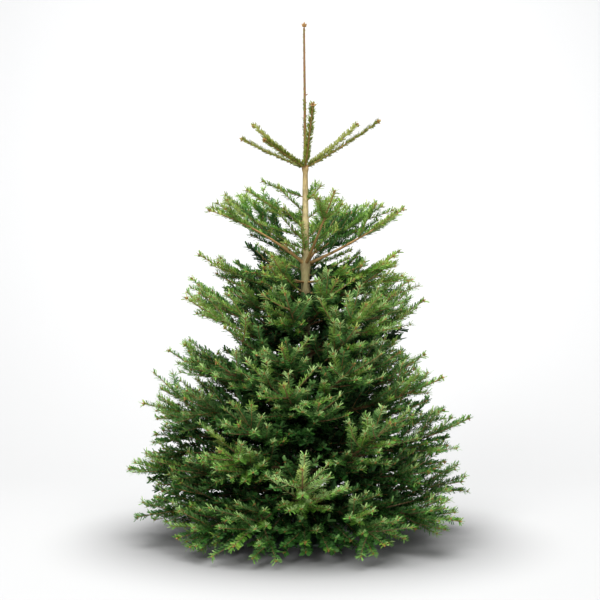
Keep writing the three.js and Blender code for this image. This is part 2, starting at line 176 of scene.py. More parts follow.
# Smaller boughs between the whorls, inside the crown that the whorls give: height, number of
# boughs, bearing of the first, length, pitch at trunk and tip, radius, length without forks.
RINGS: tuple[tuple[float, ...], ...] = (
    (1075, 1, 25, 380, 32, 40, 4.5, 60),
    (985, 5, 22, 345, 4, 18, 4.5, 100),
    (885, 5, 34, 400, 12, 32, 5.0, 110),
    (820, 5, 70, 430, 12, 34, 5.0, 110),
    (760, 6, 20, 460, 12, 34, 5.0, 115),
    (640, 6, 52, 500, 10, 32, 6.0, 120),
    (575, 6, 20, 510, 8, 32, 6.0, 120),
    (525, 6, 50, 520, 8, 30, 6.0, 125),
    (415, 6, 35, 550, 5, 26, 6.5, 130),
    (400, 1, 183, 570, -4, 4, 6.0, 130),
    (375, 1, 172, 560, 0, 6, 6.0, 130),
    (355, 6, 5, 560, 3, 24, 6.5, 130),
    (262, 1, 0, 540, -2, 8, 6.0, 130),
    (240, 6, 26, 540, 0, 12, 6.0, 130),
    (340, 1, 190, 575, -2, 2, 6.0, 130),
    (330, 1, 352, 590, 0, 8, 6.0, 130),
    (270, 1, 168, 590, -3, 0, 6.0, 130),
    (232, 1, 192, 560, -4, 2, 6.0, 130),
    (200, 1, 182, 600, -7, -5, 6.0, 130),
    (178, 9, 10, 475, -15, -9, 5.0, 110),
    (156, 9, 30, 500, -8, -9, 5.0, 150),
    (150, 1, 279, 520, -8, -12, 5.0, 150),
    (235, 1, 60, 520, -6, -2, 6.0, 130),
    (322, 1, 72, 540, -2, 3, 6.0, 130),
    (285, 1, 128, 540, -2, 2, 6.0, 130),
)


@dataclass(frozen=True)
class SkyGap:
    """A place where sky or trunk shows: its corners across and up, in the trunk's own plane.

    A gap may hold back only what grows on the viewer's side, and only the boughs that leave the
    trunk below a height.
    """

    corners: tuple[tuple[float, float], ...]
    nearer_only: bool = False
    boughs_below: float = TREE_HEIGHT

    def holds(self, points: np.ndarray) -> np.ndarray:
        """Whether the viewer sees the points inside the gap.

        Args:
            points: Rows of points.

        Returns:
            A yes or no for each point.
        """
        shrink = VIEW_DISTANCE / (VIEW_DISTANCE + points[:, 1])
        across_view = (points[:, 0] * shrink)[:, None]
        up_view = ((points[:, 2] - VIEW_HEIGHT) * shrink + VIEW_HEIGHT)[:, None]
        first = np.array(self.corners)
        last = np.roll(first, -1, axis=0)
        run, rise = (last - first).T
        crossed = (first[:, 1] > up_view) != (last[:, 1] > up_view)
        place = first[:, 0] + (up_view - first[:, 1]) * run / np.where(rise == 0, 1, rise)
        inside = (crossed & (place > across_view)).sum(axis=1) % 2 == 1
        return inside & (points[:, 1] < 0) if self.nearer_only else inside


LEFT_SKY = (
    (-140, 1390), (-170, 1335), (-315, 1325), (-385, 1280), (-355, 1210), (-265, 1195),
    (-300, 1150), (-210, 1105), (-155, 1055), (-190, 1035), (-385, 1105), (-335, 1010),
    (-245, 955), (-385, 965), (-450, 1010), (-455, 910), (-400, 850), (-302, 797),
    (-245, 725), (-350, 715), (-505, 790), (-435, 695), (-595, 640), (-560, 570),
    (-575, 370), (-645, 315), (-675, 235), (-590, 165), (-625, 135), (-580, 35),
    (-470, -10), (-400, -80), (-830, -80), (-830, 1390),
)
RIGHT_SKY = (
    (30, 1390), (55, 1325), (125, 1330), (185, 1260), (225, 1310), (285, 1320),
    (320, 1300), (385, 1285), (340, 1220), (240, 1165), (200, 1125), (240, 1070),
    (225, 1025), (265, 1025), (350, 1105), (365, 1040), (438, 985), (452, 915),
    (424, 855), (450, 815), (365, 760), (385, 700), (455, 710), (435, 660),
    (520, 615), (480, 560), (485, 515), (620, 460), (550, 405), (560, 370),
    (655, 320), (620, 260), (655, 200), (620, 145), (625, 115), (570, 60),
    (500, -80), (835, -80), (835, 1390),
)
UPPER_LIMBS = (
    (-255, 1205), (-160, 1095), (-30, 1035), (45, 1035), (185, 1090), (280, 1165),
    (280, 1235), (-255, 1255),
)
GAPS = (
    SkyGap(LEFT_SKY),
    SkyGap(RIGHT_SKY),
    SkyGap(((-110, 1330), (-45, 1320), (-55, 1290), (-125, 1305))),
    SkyGap(((230, 1235), (265, 1230), (260, 1195), (230, 1190))),
    SkyGap(((-200, 1240), (-160, 1240), (-200, 1175))),
    SkyGap(((-44, 1065), (-44, 925), (46, 925), (46, 1065)), nearer_only=True),
    SkyGap(UPPER_LIMBS, nearer_only=True, boughs_below=1000.0),
)


def between_whorl(ring: tuple[float, ...]) -> Whorl:
    """One ring of smaller boughs, spaced evenly round the trunk.

    Args:
        ring: The ring's row in the list.

    Returns:
        The ring as a whorl.
    """
    height, count, first, length, pitch_in, pitch_out, root, clear = ring
    turns = tuple(first + 360 * index / count for index in range(int(count)))
    each = [(value,) * len(turns) for value in (length, pitch_in, pitch_out)]
    return Whorl("between", height, turns, *each, root=root, clear=clear)


BETWEEN = tuple(between_whorl(ring) for ring in RINGS)

# Boughs in full light, whose sprays get lighter tints than their place would give them: painted
# light.
PAINTED_LIGHT_LIFT = {
    "skirt_foliage_5": 0.38,
    "hem_foliage_4": 0.05,
    "hem_foliage_5": 0.06,
    "lower_foliage_5": 0.12,
    "lower_foliage_6": 0.1,
}


def mix(first: float, last: float, share: float) -> float:
    """The value that lies a share of the way from the first to the last."""
    return first + (last - first) * share


def unit(vectors: np.ndarray) -> np.ndarray:
    """The same directions with length 1."""
    return vectors / np.linalg.norm(vectors, axis=-1, keepdims=True)


def across(heading: np.ndarray) -> tuple[np.ndarray, np.ndarray]:
    """Two directions across a heading.

    Args:
        heading: One direction or rows of them.

    Returns:
        The direction sideways on the level, and the one that rises.
    """
    side = unit(np.cross(np.broadcast_to(UP, heading.shape), heading))
    return side, unit(np.cross(heading, side))


def chance(*keys: int) -> float:
    """A number from 0 to 1 that depends only on the seed and the keys.

    Args:
        keys: Whole numbers that name the place the number is for.

    Returns:
        The number, the same one as in the part's source.
    """
    value = SEED
    for key in keys:
        value = ((value ^ (key + 1)) * 0x9E3779B1) & 0xFFFFFFFF
        value ^= value >> 15
    value = (value * 0x85EBCA6B) & 0xFFFFFFFF
    return (value ^ (value >> 13)) / 2**32


def spread(width: float, *keys: int) -> float:
    """A number that lies evenly about 0 over the width."""
    return (chance(*keys) - 0.5) * width


def trunk_middle(height: np.ndarray) -> np.ndarray:
    """The trunk's middle at each height: almost upright, with a slight bow."""
    bow = TRUNK_BOW * np.sin(np.pi * np.asarray(height, float) / TREE_HEIGHT)
    return np.stack([bow, bow / 2, np.asarray(height, float)], axis=-1)


def trunk_radius(height: np.ndarray) -> np.ndarray:
    """The trunk's radius at each height, from the flare at the butt to the leader's tip.

    Args:
        height: The heights.

    Returns:
        The radii.
    """
    flare = BUTT_RADIUS + (STEM_RADIUS - BUTT_RADIUS) * np.sin(
        np.clip((height - BUTT_HEIGHT) / (FLARE_TOP - BUTT_HEIGHT), 0, 1) * np.pi / 2
    )
    stem = np.interp(height, (FLARE_TOP, CROWN_HEIGHT), (STEM_RADIUS, CROWN_RADIUS))
    leader = np.interp(height, (CROWN_HEIGHT, LEADER_TOP), (LEADER_RADIUS, LEADER_TIP_RADIUS))
    return np.where(height < FLARE_TOP, flare, np.where(height <= CROWN_HEIGHT, stem, leader))


class BoughArc:
    """A bough's curve: an upright arc whose pitch goes evenly from the trunk to the tip."""

    def __init__(self, whorl: Whorl, index: int) -> None:
        """Sets the arc out from the whorl's sizes.

        Args:
            whorl: The whorl.
            index: The bough's place in it.
        """
        self.length = float(whorl.lengths[index])
        self.first = math.radians(whorl.pitch_in[index])
        self.bend = math.radians(whorl.pitch_out[index] - whorl.pitch_in[index]) / self.length
        azimuth = math.radians(whorl.azimuths[index])
        self.outward = np.array([math.cos(azimuth), math.sin(azimuth), 0.0])
        self.start = trunk_middle(whorl.height)

    def at(self, distance: np.ndarray) -> np.ndarray:
        """The points at the distances along the curve.

        Args:
            distance: The distances.

        Returns:
            Rows of points.
        """
        pitch = self.first + self.bend * np.asarray(distance, float)
        out = (np.sin(pitch) - math.sin(self.first)) / self.bend
        rise = (math.cos(self.first) - np.cos(pitch)) / self.bend
        return self.start + out[..., None] * self.outward + rise[..., None] * UP

    def heading(self, distance: np.ndarray) -> np.ndarray:
        """The directions of the curve at the distances."""
        pitch = (self.first + self.bend * np.asarray(distance, float))[..., None]
        return np.cos(pitch) * self.outward + np.sin(pitch) * UP


class TwigSweep:
    """A side twig's curve: it leaves at an angle and sweeps forward and up."""

    def __init__(
        self, origin: np.ndarray, direction: np.ndarray, forward: np.ndarray, length: float
    ) -> None:
        """Keeps where the twig starts, where it heads, and its length.

        Args:
            origin: Where it starts.
            direction: Where it heads at first.
            forward: Its parent's heading, which it sweeps towards.
            length: Its length.
        """
        self.origin = origin
        self.direction = direction
        self.forward = forward
        self.sweep = forward * SWEEP_FORWARD + UP * SWEEP_UP
        self.length = length

    def at(self, distance: np.ndarray) -> np.ndarray:
        """The points at the distances along the curve."""
        along = np.asarray(distance, float)[..., None]
        return self.origin + self.direction * along + self.sweep * along**2 / (2 * self.length)

    def heading(self, distance: np.ndarray) -> np.ndarray:
        """The directions of the curve at the distances."""
        along = np.asarray(distance, float)[..., None]
        return unit(self.direction + self.sweep * along / self.length)


Curve = BoughArc | TwigSweep


@dataclass
class Bough:
    """One bough of a whorl, with the curve that its limb and its mass of foliage follow."""

    whorl: Whorl
    level: int
    index: int
    curve: BoughArc

    @property
    def first_fork(self) -> float:
        """The least distance from the trunk to a fork."""
        return (self.whorl.bare or self.whorl.clear) + FORK_START

    @property
    def node(self) -> str:
        """The CAD node of the bough's foliage, or nothing for a bough between the whorls."""
        name = f"{self.whorl.name}_foliage_{self.index + 1}"
        return name if self.level < len(WHORLS) else ""


class ShootKind(Enum):
    """The kinds of shoot, by the wood that carries them."""

    STEM = "stem"
    FORK = "fork"
    FINE = "fine"
    LEADER = "leader"


@dataclass
class Shoot:
    """A length of twig: its curve, its thickness, and how its needles grow."""

    curve: Curve
    start: float
    root: float
    tip: float
    density: float
    needle: float
    shade: float
    node: str
    kind: ShootKind = ShootKind.FINE
    radial: bool = False
    budded: bool = True
    broad: float = 1.0

    def girth(self, distance: np.ndarray) -> np.ndarray:
        """The twig's radius at the distances along it, swollen where it leaves its parent.

        Args:
            distance: The distances.

        Returns:
            The radii.
        """
        share = np.clip(np.asarray(distance, float) / self.curve.length, 0, 1)
        reach = self.root * TWIG_COLLAR_REACH
        collar = 1 + TWIG_COLLAR * np.exp(-np.asarray(distance, float) / reach)
        return (self.root + (self.tip - self.root) * share**TWIG_TAPER) * collar


class Crown:
    """All the boughs, the space of each, and everything that grows on them."""

    def __init__(self, whorls: tuple[Whorl, ...]) -> None:
        """Sets out the boughs, and the straight steps that tell their spaces apart.

        Args:
            whorls: The rings of boughs.
        """
        self.boughs = [
            Bough(whorl, level, index, BoughArc(whorl, index))
            for level, whorl in enumerate(whorls)
            for index in range(len(whorl.azimuths))
        ]
        paths = [
            bough.curve.at(np.linspace(0, bough.curve.length, PATH_STEPS + 1))
            for bough in self.boughs
        ]
        self.starts = np.concatenate([path[:-1] for path in paths])
        self.runs = np.concatenate([path[1:] - path[:-1] for path in paths])

    def distances(self, points: np.ndarray) -> np.ndarray:
        """How far each point lies from each bough.

        Args:
            points: Rows of points.

        Returns:
            A row for each point and a column for each bough.
        """
        offset = points[:, None, :] - self.starts[None]
        share = np.einsum("nsk,sk->ns", offset, self.runs) / np.sum(self.runs**2, axis=1)
        nearest = offset - np.clip(share, 0, 1)[..., None] * self.runs[None]
        far = np.sqrt(np.sum(nearest**2, axis=2))
        return far.reshape(len(points), len(self.boughs), PATH_STEPS).min(axis=2)

    def in_space(self, number: int, points: np.ndarray, gap: float = SPACE_GAP) -> np.ndarray:
        """Whether points lie in a bough's own space, clear of the floor and the trunk.

        Args:
            number: The bough's place in the list.
            points: Rows of points.
            gap: How much nearer the bough must be than any other.

        Returns:
            A yes or no for each point.
        """
        height = points[:, 2]
        away = np.hypot(*(points - trunk_middle(height))[:, :2].T)
        clear = (away >= trunk_radius(height) * COLLAR_SWELL + gap) | (height >= TREE_HEIGHT)
        distance = self.distances(points)
        own = distance[:, number]
        others = np.delete(distance, number, axis=1).min(axis=1)
        return (height >= FLOOR_CLEARANCE) & clear & (others > own + gap)

    def fits(self, number: int, curve: Curve, reach: float) -> bool:
        """Whether the source's rows of needles on a twig fit in the bough's space.

        Args:
            number: The bough's place in the list.
            curve: The twig's curve.
            reach: The reach of its needles.

        Returns:
            True where every row fits at one of its widths and the tip does too.
        """
        rows = max(1, int(curve.length / TIER_LENGTH + 0.5))
        step = curve.length / (rows + TIP_SHARE)
        points = [curve.at(curve.length)[None]]
        for row in range(rows):
            far = step * (row + 1)
            turn = math.pi / 2 + (row % 2) * math.pi / 3 + np.arange(3) * 2 * math.pi / 3
            full = reach * math.sin(mix(*ROW_PHASES, far / curve.length))
            side, rise = across(curve.heading(far))
            ring = np.cos(turn)[:, None] * side + np.sin(turn)[:, None] * rise
            points += [curve.at(far) + ring * full * share for share in NARROWER]
        inside = self.in_space(number, np.concatenate(points))
        return bool(inside[0] and inside[1:].reshape(rows, 3, 3).all(axis=2).any(axis=1).all())

    def fitted(
        self,
        number: int,
        origin: np.ndarray,
        direction: np.ndarray,
        forward: np.ndarray,
        length: float,
        reach: float,
    ) -> TwigSweep | None:
        """A side twig that fits in the space, shortened where it must be.

        Args:
            number: The bough's place in the list.
            origin: Where the twig starts.
            direction: Where it heads at first.
            forward: Its parent's heading, which it sweeps towards.
            length: Its full length.
            reach: The reach of its needles.

        Returns:
            The twig's curve, or None where it doesn't fit.
        """
        for share in SHORTER:
            if length * share < LEAST_TWIG:
                return None
            curve = TwigSweep(origin, direction, forward, length * share)
            if self.fits(number, curve, reach):
                return curve
        return None

    @staticmethod
    def fork_direction(heading: np.ndarray, hand: int, angle: float, roll: float) -> np.ndarray:
        """The direction of a fork, left or right of its parent and rolled out of its plane.

        Args:
            heading: The parent's heading.
            hand: -1 or 1, for the side.
            angle: The angle from the heading, in radians.
            roll: The angle out of the level, in radians.

        Returns:
            The fork's direction.
        """
        side, rise = across(heading)
        sideways = side * hand * math.cos(roll) + rise * math.sin(roll)
        return heading * math.cos(angle) + sideways * math.sin(angle)

    def forks(self, number: int) -> list[tuple[TwigSweep, bool]]:
        """The forks of a mass, as the part's source has them.

        Args:
            number: The bough's place in the list.

        Returns:
            Each fork's curve, and whether it grows on another fork.
        """
        bough = self.boughs[number]
        curve, found, order = bough.curve, [], 0
        node = curve.length - NODE_SPACING
        while node > bough.first_fork:
            order += 1
            for hand in (-1, 1):
                key = (bough.level, bough.index, order, hand + 1)
                angle = math.radians(FORK_ANGLE + spread(FORK_ANGLE_SPREAD, *key, 1))
                lean = hand * (ROLL_LEAN if order % 2 else -ROLL_LEAN)
                roll = math.radians(lean + spread(ROLL_SPREAD, *key, 2))
                length = LATERAL_SHARE * (curve.length - node) + LATERAL_BASE
                length *= LENGTH_CHANCE[0] + LENGTH_CHANCE[1] * chance(*key, 3)
                heading = curve.heading(node)
                direction = self.fork_direction(heading, hand, angle, roll)
                origin = curve.at(node)
                fork = self.fitted(number, origin, direction, heading, length, FORK_REACH)
                if fork is None:
                    continue
                found.append((fork, False))
                if fork.length < FORKED_LATERAL:
                    continue
                along = fork.length - TWIG_SPACING
                for turn in (-1, 1):
                    angle = math.radians(FORK_ANGLE + spread(FORK_ANGLE_SPREAD, *key, 4 + turn))
                    roll = math.radians(spread(ROLL_SPREAD, *key, 7 + turn))
                    ahead = fork.heading(along)
                    direction = self.fork_direction(ahead, turn, angle, roll)
                    root = fork.at(along)
                    twig = self.fitted(number, root, direction, ahead, TWIG_LENGTH, TWIG_REACH)
                    if twig is not None:
                        found.append((twig, True))
            node -= NODE_SPACING
        return found


@dataclass(frozen=True)
class Spray:
    """How needles grow: their number and breadth against plain ones, and their length."""

    density: float
    breadth: float
    needle: float = 24.0


class Light(Enum):
    """The kinds of spray, by the light that they grow in."""

    INNER = Spray(0.48, 2.3, 31.0)
    SHELTERED = Spray(0.58, 1.7)
    OUTER = Spray(1.0, 0.72)
    AIRY = Spray(1.3, 0.78)


@dataclass
class Growth:
    """Carries the boughs' forks on to fine shoots, and keeps every shoot of the tree.

    Lengths are in millimetres and angles in degrees. A shade is a spray's tint level, from 0 deep
    in
    the crown to 1 at its tips and top: partly its freshness, partly painted shade and light.
    """

    source: Crown = field(default_factory=lambda: Crown(WHORLS))
    crown: Crown = field(default_factory=lambda: Crown(WHORLS + BETWEEN))
    rng: np.random.Generator = field(default_factory=lambda: np.random.default_rng(SEED))
    shoots: list[Shoot] = field(default_factory=list)
    taken: set[tuple[int, int, int]] = field(default_factory=set)

    # Side shoots: how far apart, how long, at what angle, and how far chance moves them.
    shoot_spacing: float = 66.0
    shoot_longest: float = 150.0
    shoot_share: float = 0.4
    shoot_base: float = 68.0
    shoot_angles: tuple[float, float] = (37.0, 55.0)
    shoot_roll: float = 30.0
    upright_share: float = 0.8
    jitter: float = 9.0
    length_range: tuple[float, float] = (0.85, 1.12)
    outward_pull: float = 0.42
    outward_share: float = 0.85
    lift_height: float = 900.0
    lift_range: tuple[float, float] = (0.05, 0.6)
    first_side: float = 34.0
    step_range: tuple[float, float] = (0.92, 1.08)

    # Risers above and beneath a stem, and the older shoots round its shaded part.
    riser_spacing: float = 90.0
    riser_angles: tuple[float, float] = (34.0, 52.0)
    riser_roll: float = 50.0
    riser_longest: float = 170.0
    riser_base: float = 58.0
    riser_last: float = 1.6
    riser_early: float = 70.0
    riser_step_range: tuple[float, float] = (0.9, 1.1)
    inner_first: float = 80.0
    inner_angles: tuple[float, float] = (42.0, 72.0)
    inner_lengths: tuple[float, float] = (80.0, 180.0)
    inner_spacing: tuple[float, float] = (60.0, 80.0)
    inner_rolls: tuple[float, ...] = (30, 150, 270)
    inner_shades: tuple[float, float] = (0.0, 0.2)
    fork_above: float = 130.0

    # Needles for each length of twig, fine or older, and where each kind of light begins.
    fine_density: float = 1.12
    old_density: float = 0.56
    inner_below: float = 0.26
    sheltered_below: float = 0.46
    budded_above: float = 0.36
    airy_above: float = 1000.0
    behind: float = 0.3
    bare_share: float = 0.6
    limb_first: float = 70.0
    stem_early: float = 30.0
    toward_viewer: float = -0.25

    # How far out and how high a spray's tint level starts, over what it grows, its weights, and
    # how much chance moves it; boughs between the whorls are darker. Lighter far out is partly
    # fresh growth and partly painted light; lighter high up is painted light, and darker between
    # the whorls is painted shade.
    fresh_and_lit_out: tuple[float, float] = (0.32, 0.6)
    painted_light_height: tuple[float, float] = (250.0, 1100.0)
    fresh_and_lit_weights: tuple[float, float] = (0.57, 0.29)
    fresh_chance: float = 0.12
    between_painted_shade: float = 0.12

    # The radius where a shoot starts, and how much of its carrier's tip stays without shoots.
    # A fork's grows with its length up to the full one.
    fork_roots: tuple[float, float] = (2.2, 3.6)
    fork_full: float = 300.0
    small_root: float = 1.9
    fine_root: float = 1.7
    riser_root: float = 2.2
    inner_root: float = 2.0
    stem_tip: float = 140.0
    fork_tip: float = 118.0
    riser_tip: float = 84.0
    inner_tip: float = 55.0

    # The room that a shoot needs, and the space that the whole crown keeps to.
    shorter: tuple[float, ...] = (1.0, 0.8, 0.62)
    felt: tuple[float, ...] = (0.4, 0.7, 1.0)
    tested: tuple[float, ...] = (0.35, 0.68, 1.0)
    outer: tuple[float, ...] = (0.7, 1.0)
    room: float = 46.0
    overhang: float = 6.0
    lowest: float = 30.0
    front_rise: float = 0.2
    front_edge: float = 450.0
    shortest: float = 150.0
    shortening: float = 0.92

    def has_room(self, curve: Curve) -> bool:
        """Whether a shoot's outer part lies where nothing grows yet; its places are then taken.

        Args:
            curve: The shoot's curve.

        Returns:
            True where there is room.
        """
        points = curve.at(np.array(self.felt) * curve.length)
        cells = {tuple(int(value) for value in cell) for cell in np.floor(points / self.room)}
        free = len(cells - self.taken) * 2 >= len(cells)
        if free:
            self.taken |= cells
        return free

    def in_gap(self, number: int, points: np.ndarray) -> np.ndarray:
        """Whether points of a bough lie where nothing of it may grow.

        Args:
            number: The bough's place in the list.
            points: Rows of points.

        Returns:
            A yes or no for each point.
        """
        height = self.crown.boughs[number].whorl.height
        held = [gap.holds(points) for gap in GAPS if height < gap.boughs_below]
        return np.any(held, axis=0)

    def fitted(self, number: int, planned: list[TwigSweep]) -> list[TwigSweep]:
        """Keeps the planned shoots that fit in a bough's own space, shortened where they must be.

        Args:
            number: The bough's place in the list.
            planned: The shoots at their full length.

        Returns:
            The shoots that fit.
        """
        if not planned:
            return []
        shares = np.array(self.shorter)
        tips = np.concatenate([twig.at(shares * twig.length) for twig in planned])
        inside = self.crown.in_space(number, tips, gap=0.0)
        low, high = (np.array(corner[:2]) / METRES for corner in CAD_BOX)
        inside &= (tips[:, :2] > low - self.overhang).all(axis=1)
        inside &= (tips[:, :2] < high + self.overhang).all(axis=1)
        nearness = np.maximum(0.0, -tips[:, 1] - self.front_edge)
        inside &= tips[:, 2] > self.lowest + self.front_rise * nearness
        for part in self.tested:
            along = np.concatenate([twig.at(part * shares * twig.length) for twig in planned])
            inside &= ~self.in_gap(number, along)
        inside = inside.reshape(-1, len(shares))
        kept = []
        for twig, places in zip(planned, inside):
            if not places.any():
                continue
            length = twig.length * float(shares[int(np.argmax(places))])
            shorter = TwigSweep(twig.origin, twig.direction, twig.forward, length)
            airy = self.crown.boughs[number].whorl.height > self.airy_above
            if self.has_room(shorter) or airy:
                kept.append(shorter)
        return kept

    def planned(
        self, curve: Curve, place: float, angles: tuple[float, float], roll: float, length: float
    ) -> TwigSweep:
        """One side shoot, a little off the place and the angles given.

        Args:
            curve: The axis that it grows on.
            place: The distance along the axis.
            angles: The least and the greatest angle from the axis, in degrees.
            roll: The turn round the axis, in degrees: 0 to one side, 90 up, 180 to the other.
            length: Its length before chance has its part.

        Returns:
            The shoot's curve.
        """
        spot = place + self.rng.uniform(-self.jitter, self.jitter)
        heading = curve.heading(spot)
        angle, turn = math.radians(self.rng.uniform(*angles)), math.radians(roll)
        direction = self.crown.fork_direction(heading, 1, angle, turn)
        root = curve.at(spot)
        away = unit(np.array([root[0], root[1], 1e-3]))
        lift = float(np.clip(root[2] / self.lift_height, *self.lift_range))
        pull = away * self.outward_share + UP * lift
        direction = unit(direction + pull * self.outward_pull)
        return TwigSweep(root, direction, heading, length * self.rng.uniform(*self.length_range))

    def side_shoots(
        self, number: int, curve: Curve, first: float, last: float, shade: float
    ) -> None:
        """Grows fine shoots along an axis, in pairs to its sides and now and then above or below.

        Args:
            number: The bough's place in the list.
            curve: The axis.
            first: The distance along it of the first shoot.
            last: The length of its tip without shoots.
            shade: The freshness of its spray.
        """
        planned, place, order = [], curve.length - last, 0
        while place > first:
            order += 1
            full = self.shoot_share * (curve.length - place) + self.shoot_base
            full = min(self.shoot_longest, full)
            rolls = [(0, 1.0), (180, 1.0)]
            if order % 2 == 0:
                rolls.append((None, self.upright_share))
            for roll, share in rolls:
                roll = self.rng.choice((90, 270)) if roll is None else roll
                turn = roll + self.rng.uniform(-self.shoot_roll, self.shoot_roll)
                planned.append(self.planned(curve, place, self.shoot_angles, turn, full * share))
            place -= self.shoot_spacing * self.rng.uniform(*self.step_range)
        bough = self.crown.boughs[number]
        if bough.whorl.name == "upper" and curve is bough.curve:
            planned = self.clear_of_limb(curve, planned)
        for twig in self.fitted(number, planned):
            own = shade if shade < self.inner_below else self.shade_of(bough, twig)
            self.add(number, twig, ShootKind.FINE, self.fine_root, own)

    def clear_of_limb(self, curve: Curve, planned: list[TwigSweep]) -> list[TwigSweep]:
        """The shoots that leave the viewer's side of a bare limb in view.

        Args:
            curve: The limb.
            planned: The shoots planned along it.

        Returns:
            Those that head away from the viewer or grow beyond the bare part.
        """
        bare = curve.at(self.bare_share * curve.length)
        far = float(np.hypot(bare[0], bare[1]))
        return [
            twig
            for twig in planned
            if twig.direction[1] > self.toward_viewer or np.hypot(*twig.origin[:2]) > far
        ]

    def kind_of(self, twig: TwigSweep) -> ShootKind:
        """Whether a twig is long enough to be built as a fork."""
        return ShootKind.FORK if twig.length > self.fork_above else ShootKind.FINE

    def light_of(self, number: int, shade: float) -> Light:
        """The light that a bough's spray grows in.

        Args:
            number: The bough's place in the list.
            shade: The freshness of the spray.

        Returns:
            The kind of spray.
        """
        if shade < self.inner_below:
            return Light.INNER
        if self.crown.boughs[number].whorl.height > self.airy_above:
            return Light.AIRY
        return Light.SHELTERED if shade < self.sheltered_below else Light.OUTER

    def add(self, number: int, curve: Curve, kind: ShootKind, root: float, shade: float) -> None:
        """Adds one shoot to the tree.

        Args:
            number: The bough's place in the list.
            curve: The shoot's curve.
            kind: What its wood is built as.
            root: Its radius where it starts.
            shade: The freshness of its needles.
        """
        spray, fine = self.light_of(number, shade).value, kind is ShootKind.FINE
        shoot = Shoot(
            curve,
            start=2.0 if fine else 12.0,
            root=root,
            tip=1.0,
            density=(self.fine_density if fine else self.old_density) * spray.density,
            needle=spray.needle,
            shade=shade,
            node=self.crown.boughs[number].node,
            kind=kind,
            budded=shade > self.budded_above,
            broad=spray.breadth,
        )
        self.shoots.append(shoot)

    def add_inner(self, curve: Curve, shade: float) -> None:
        """Adds one shoot with the broad, sparse, dark needles that stand for the crown's shaded
        inside: painted shade.

        Args:
            curve: The shoot's curve.
            shade: The freshness of its needles.
        """
        spray = Light.INNER.value
        density, broad = self.fine_density * spray.density, spray.breadth
        self.shoots.append(
            Shoot(curve, 2.0, 1.4, 1.0, density, spray.needle, shade, "", budded=False, broad=broad)
        )

    def shade_of(self, bough: Bough, curve: Curve) -> float:
        """A spray's tint level, from 0 deep in the crown to 1 at its tips and top: partly its
        freshness, partly painted light and shade.

        Args:
            bough: The bough that the spray grows on.
            curve: The spray's curve.

        Returns:
            The tint level, with a little chance in it.
        """
        tip = curve.at(curve.length)
        reach = float(np.hypot(*bough.curve.at(bough.curve.length)[:2]))
        out = float(np.hypot(tip[0], tip[1])) / reach
        height = float(np.clip((tip[2] - self.painted_light_height[0]) / self.painted_light_height[1], 0, 1))
        chanced = float(self.rng.uniform(-self.fresh_chance, self.fresh_chance))
        # Darker between the whorls: painted shade. Lighter far out and high up: partly fresh
        # growth, partly painted light.
        within = 0.0 if bough.node else self.between_painted_shade
        far = min(1.0, max(0.0, (out - self.fresh_and_lit_out[0]) / self.fresh_and_lit_out[1]))
        place = self.fresh_and_lit_weights[0] * far + self.fresh_and_lit_weights[1] * height
        return place + chanced - within + PAINTED_LIGHT_LIFT.get(bough.node, 0.0)

    def risers(self, number: int) -> None:
        """Grows smaller forks above and beneath the stem, between the source's, with their shoots.

        Args:
            number: The bough's place in the list.
        """
        bough = self.crown.boughs[number]
        curve, planned = bough.curve, []
        place = curve.length - self.riser_last * self.riser_spacing
        while place > bough.first_fork - self.riser_early:
            for roll in (90, 270):
                full = self.shoot_share * (curve.length - place) + self.riser_base
                turn = roll + self.rng.uniform(-self.riser_roll, self.riser_roll)
                full = min(self.riser_longest, full)
                planned.append(self.planned(curve, place, self.riser_angles, turn, full))
            place -= self.riser_spacing * self.rng.uniform(*self.riser_step_range)
        for twig in self.fitted(number, planned):
            shade = self.shade_of(bough, twig)
            self.add(number, twig, self.kind_of(twig), self.riser_root, shade)
            self.side_shoots(number, twig, self.first_side, self.riser_tip, shade)

    def inner_shoots(self, number: int) -> None:
        """Grows older shoots all round the part of a limb that lies in the crown's shade.

        Args:
            number: The bough's place in the list.
        """
        bough = self.crown.boughs[number]
        place, planned = self.inner_first, []
        while place < bough.first_fork:
            for roll in self.inner_rolls:
                turn = roll + self.rng.uniform(-self.riser_roll, self.riser_roll)
                full = self.rng.uniform(*self.inner_lengths)
                planned.append(self.planned(bough.curve, place, self.inner_angles, turn, full))
            place += self.rng.uniform(*self.inner_spacing)
        for twig in self.fitted(number, planned):
            # A tint level near 0: the dark tint is painted shade, over the older needles' own
            # darker green.
            shade = float(self.rng.uniform(*self.inner_shades))
            self.add(number, twig, self.kind_of(twig), self.inner_root, shade)
            self.side_shoots(number, twig, self.first_side, self.inner_tip, shade)

    def shorten(self, number: int) -> None:
        """Shortens a bough between the whorls until its outer part lies in no gap.

        Args:
            number: The bough's place in the list.
        """
        curve = self.crown.boughs[number].curve
        outer = np.array(self.outer)
        while curve.length > self.shortest:
            if not self.in_gap(number, curve.at(outer * curve.length)).any():
                break
            curve.length *= self.shortening

    def open_forks(self, number: int) -> list[tuple[TwigSweep, bool]]:
        """The forks of a bough that lie in no gap, and that grow on nothing that does.

        Args:
            number: The bough's place in the list.

        Returns:
            Each fork's curve, and whether it grows on another fork.
        """
        crown = self.source if self.crown.boughs[number].node else self.crown
        kept, parent_kept = [], True
        for fork, small in crown.forks(number):
            points = fork.at(np.array(self.outer) * fork.length)
            clear = not self.in_gap(number, points).any()
            if not small:
                parent_kept = clear
            if clear and parent_kept:
                kept.append((fork, small))
        return kept

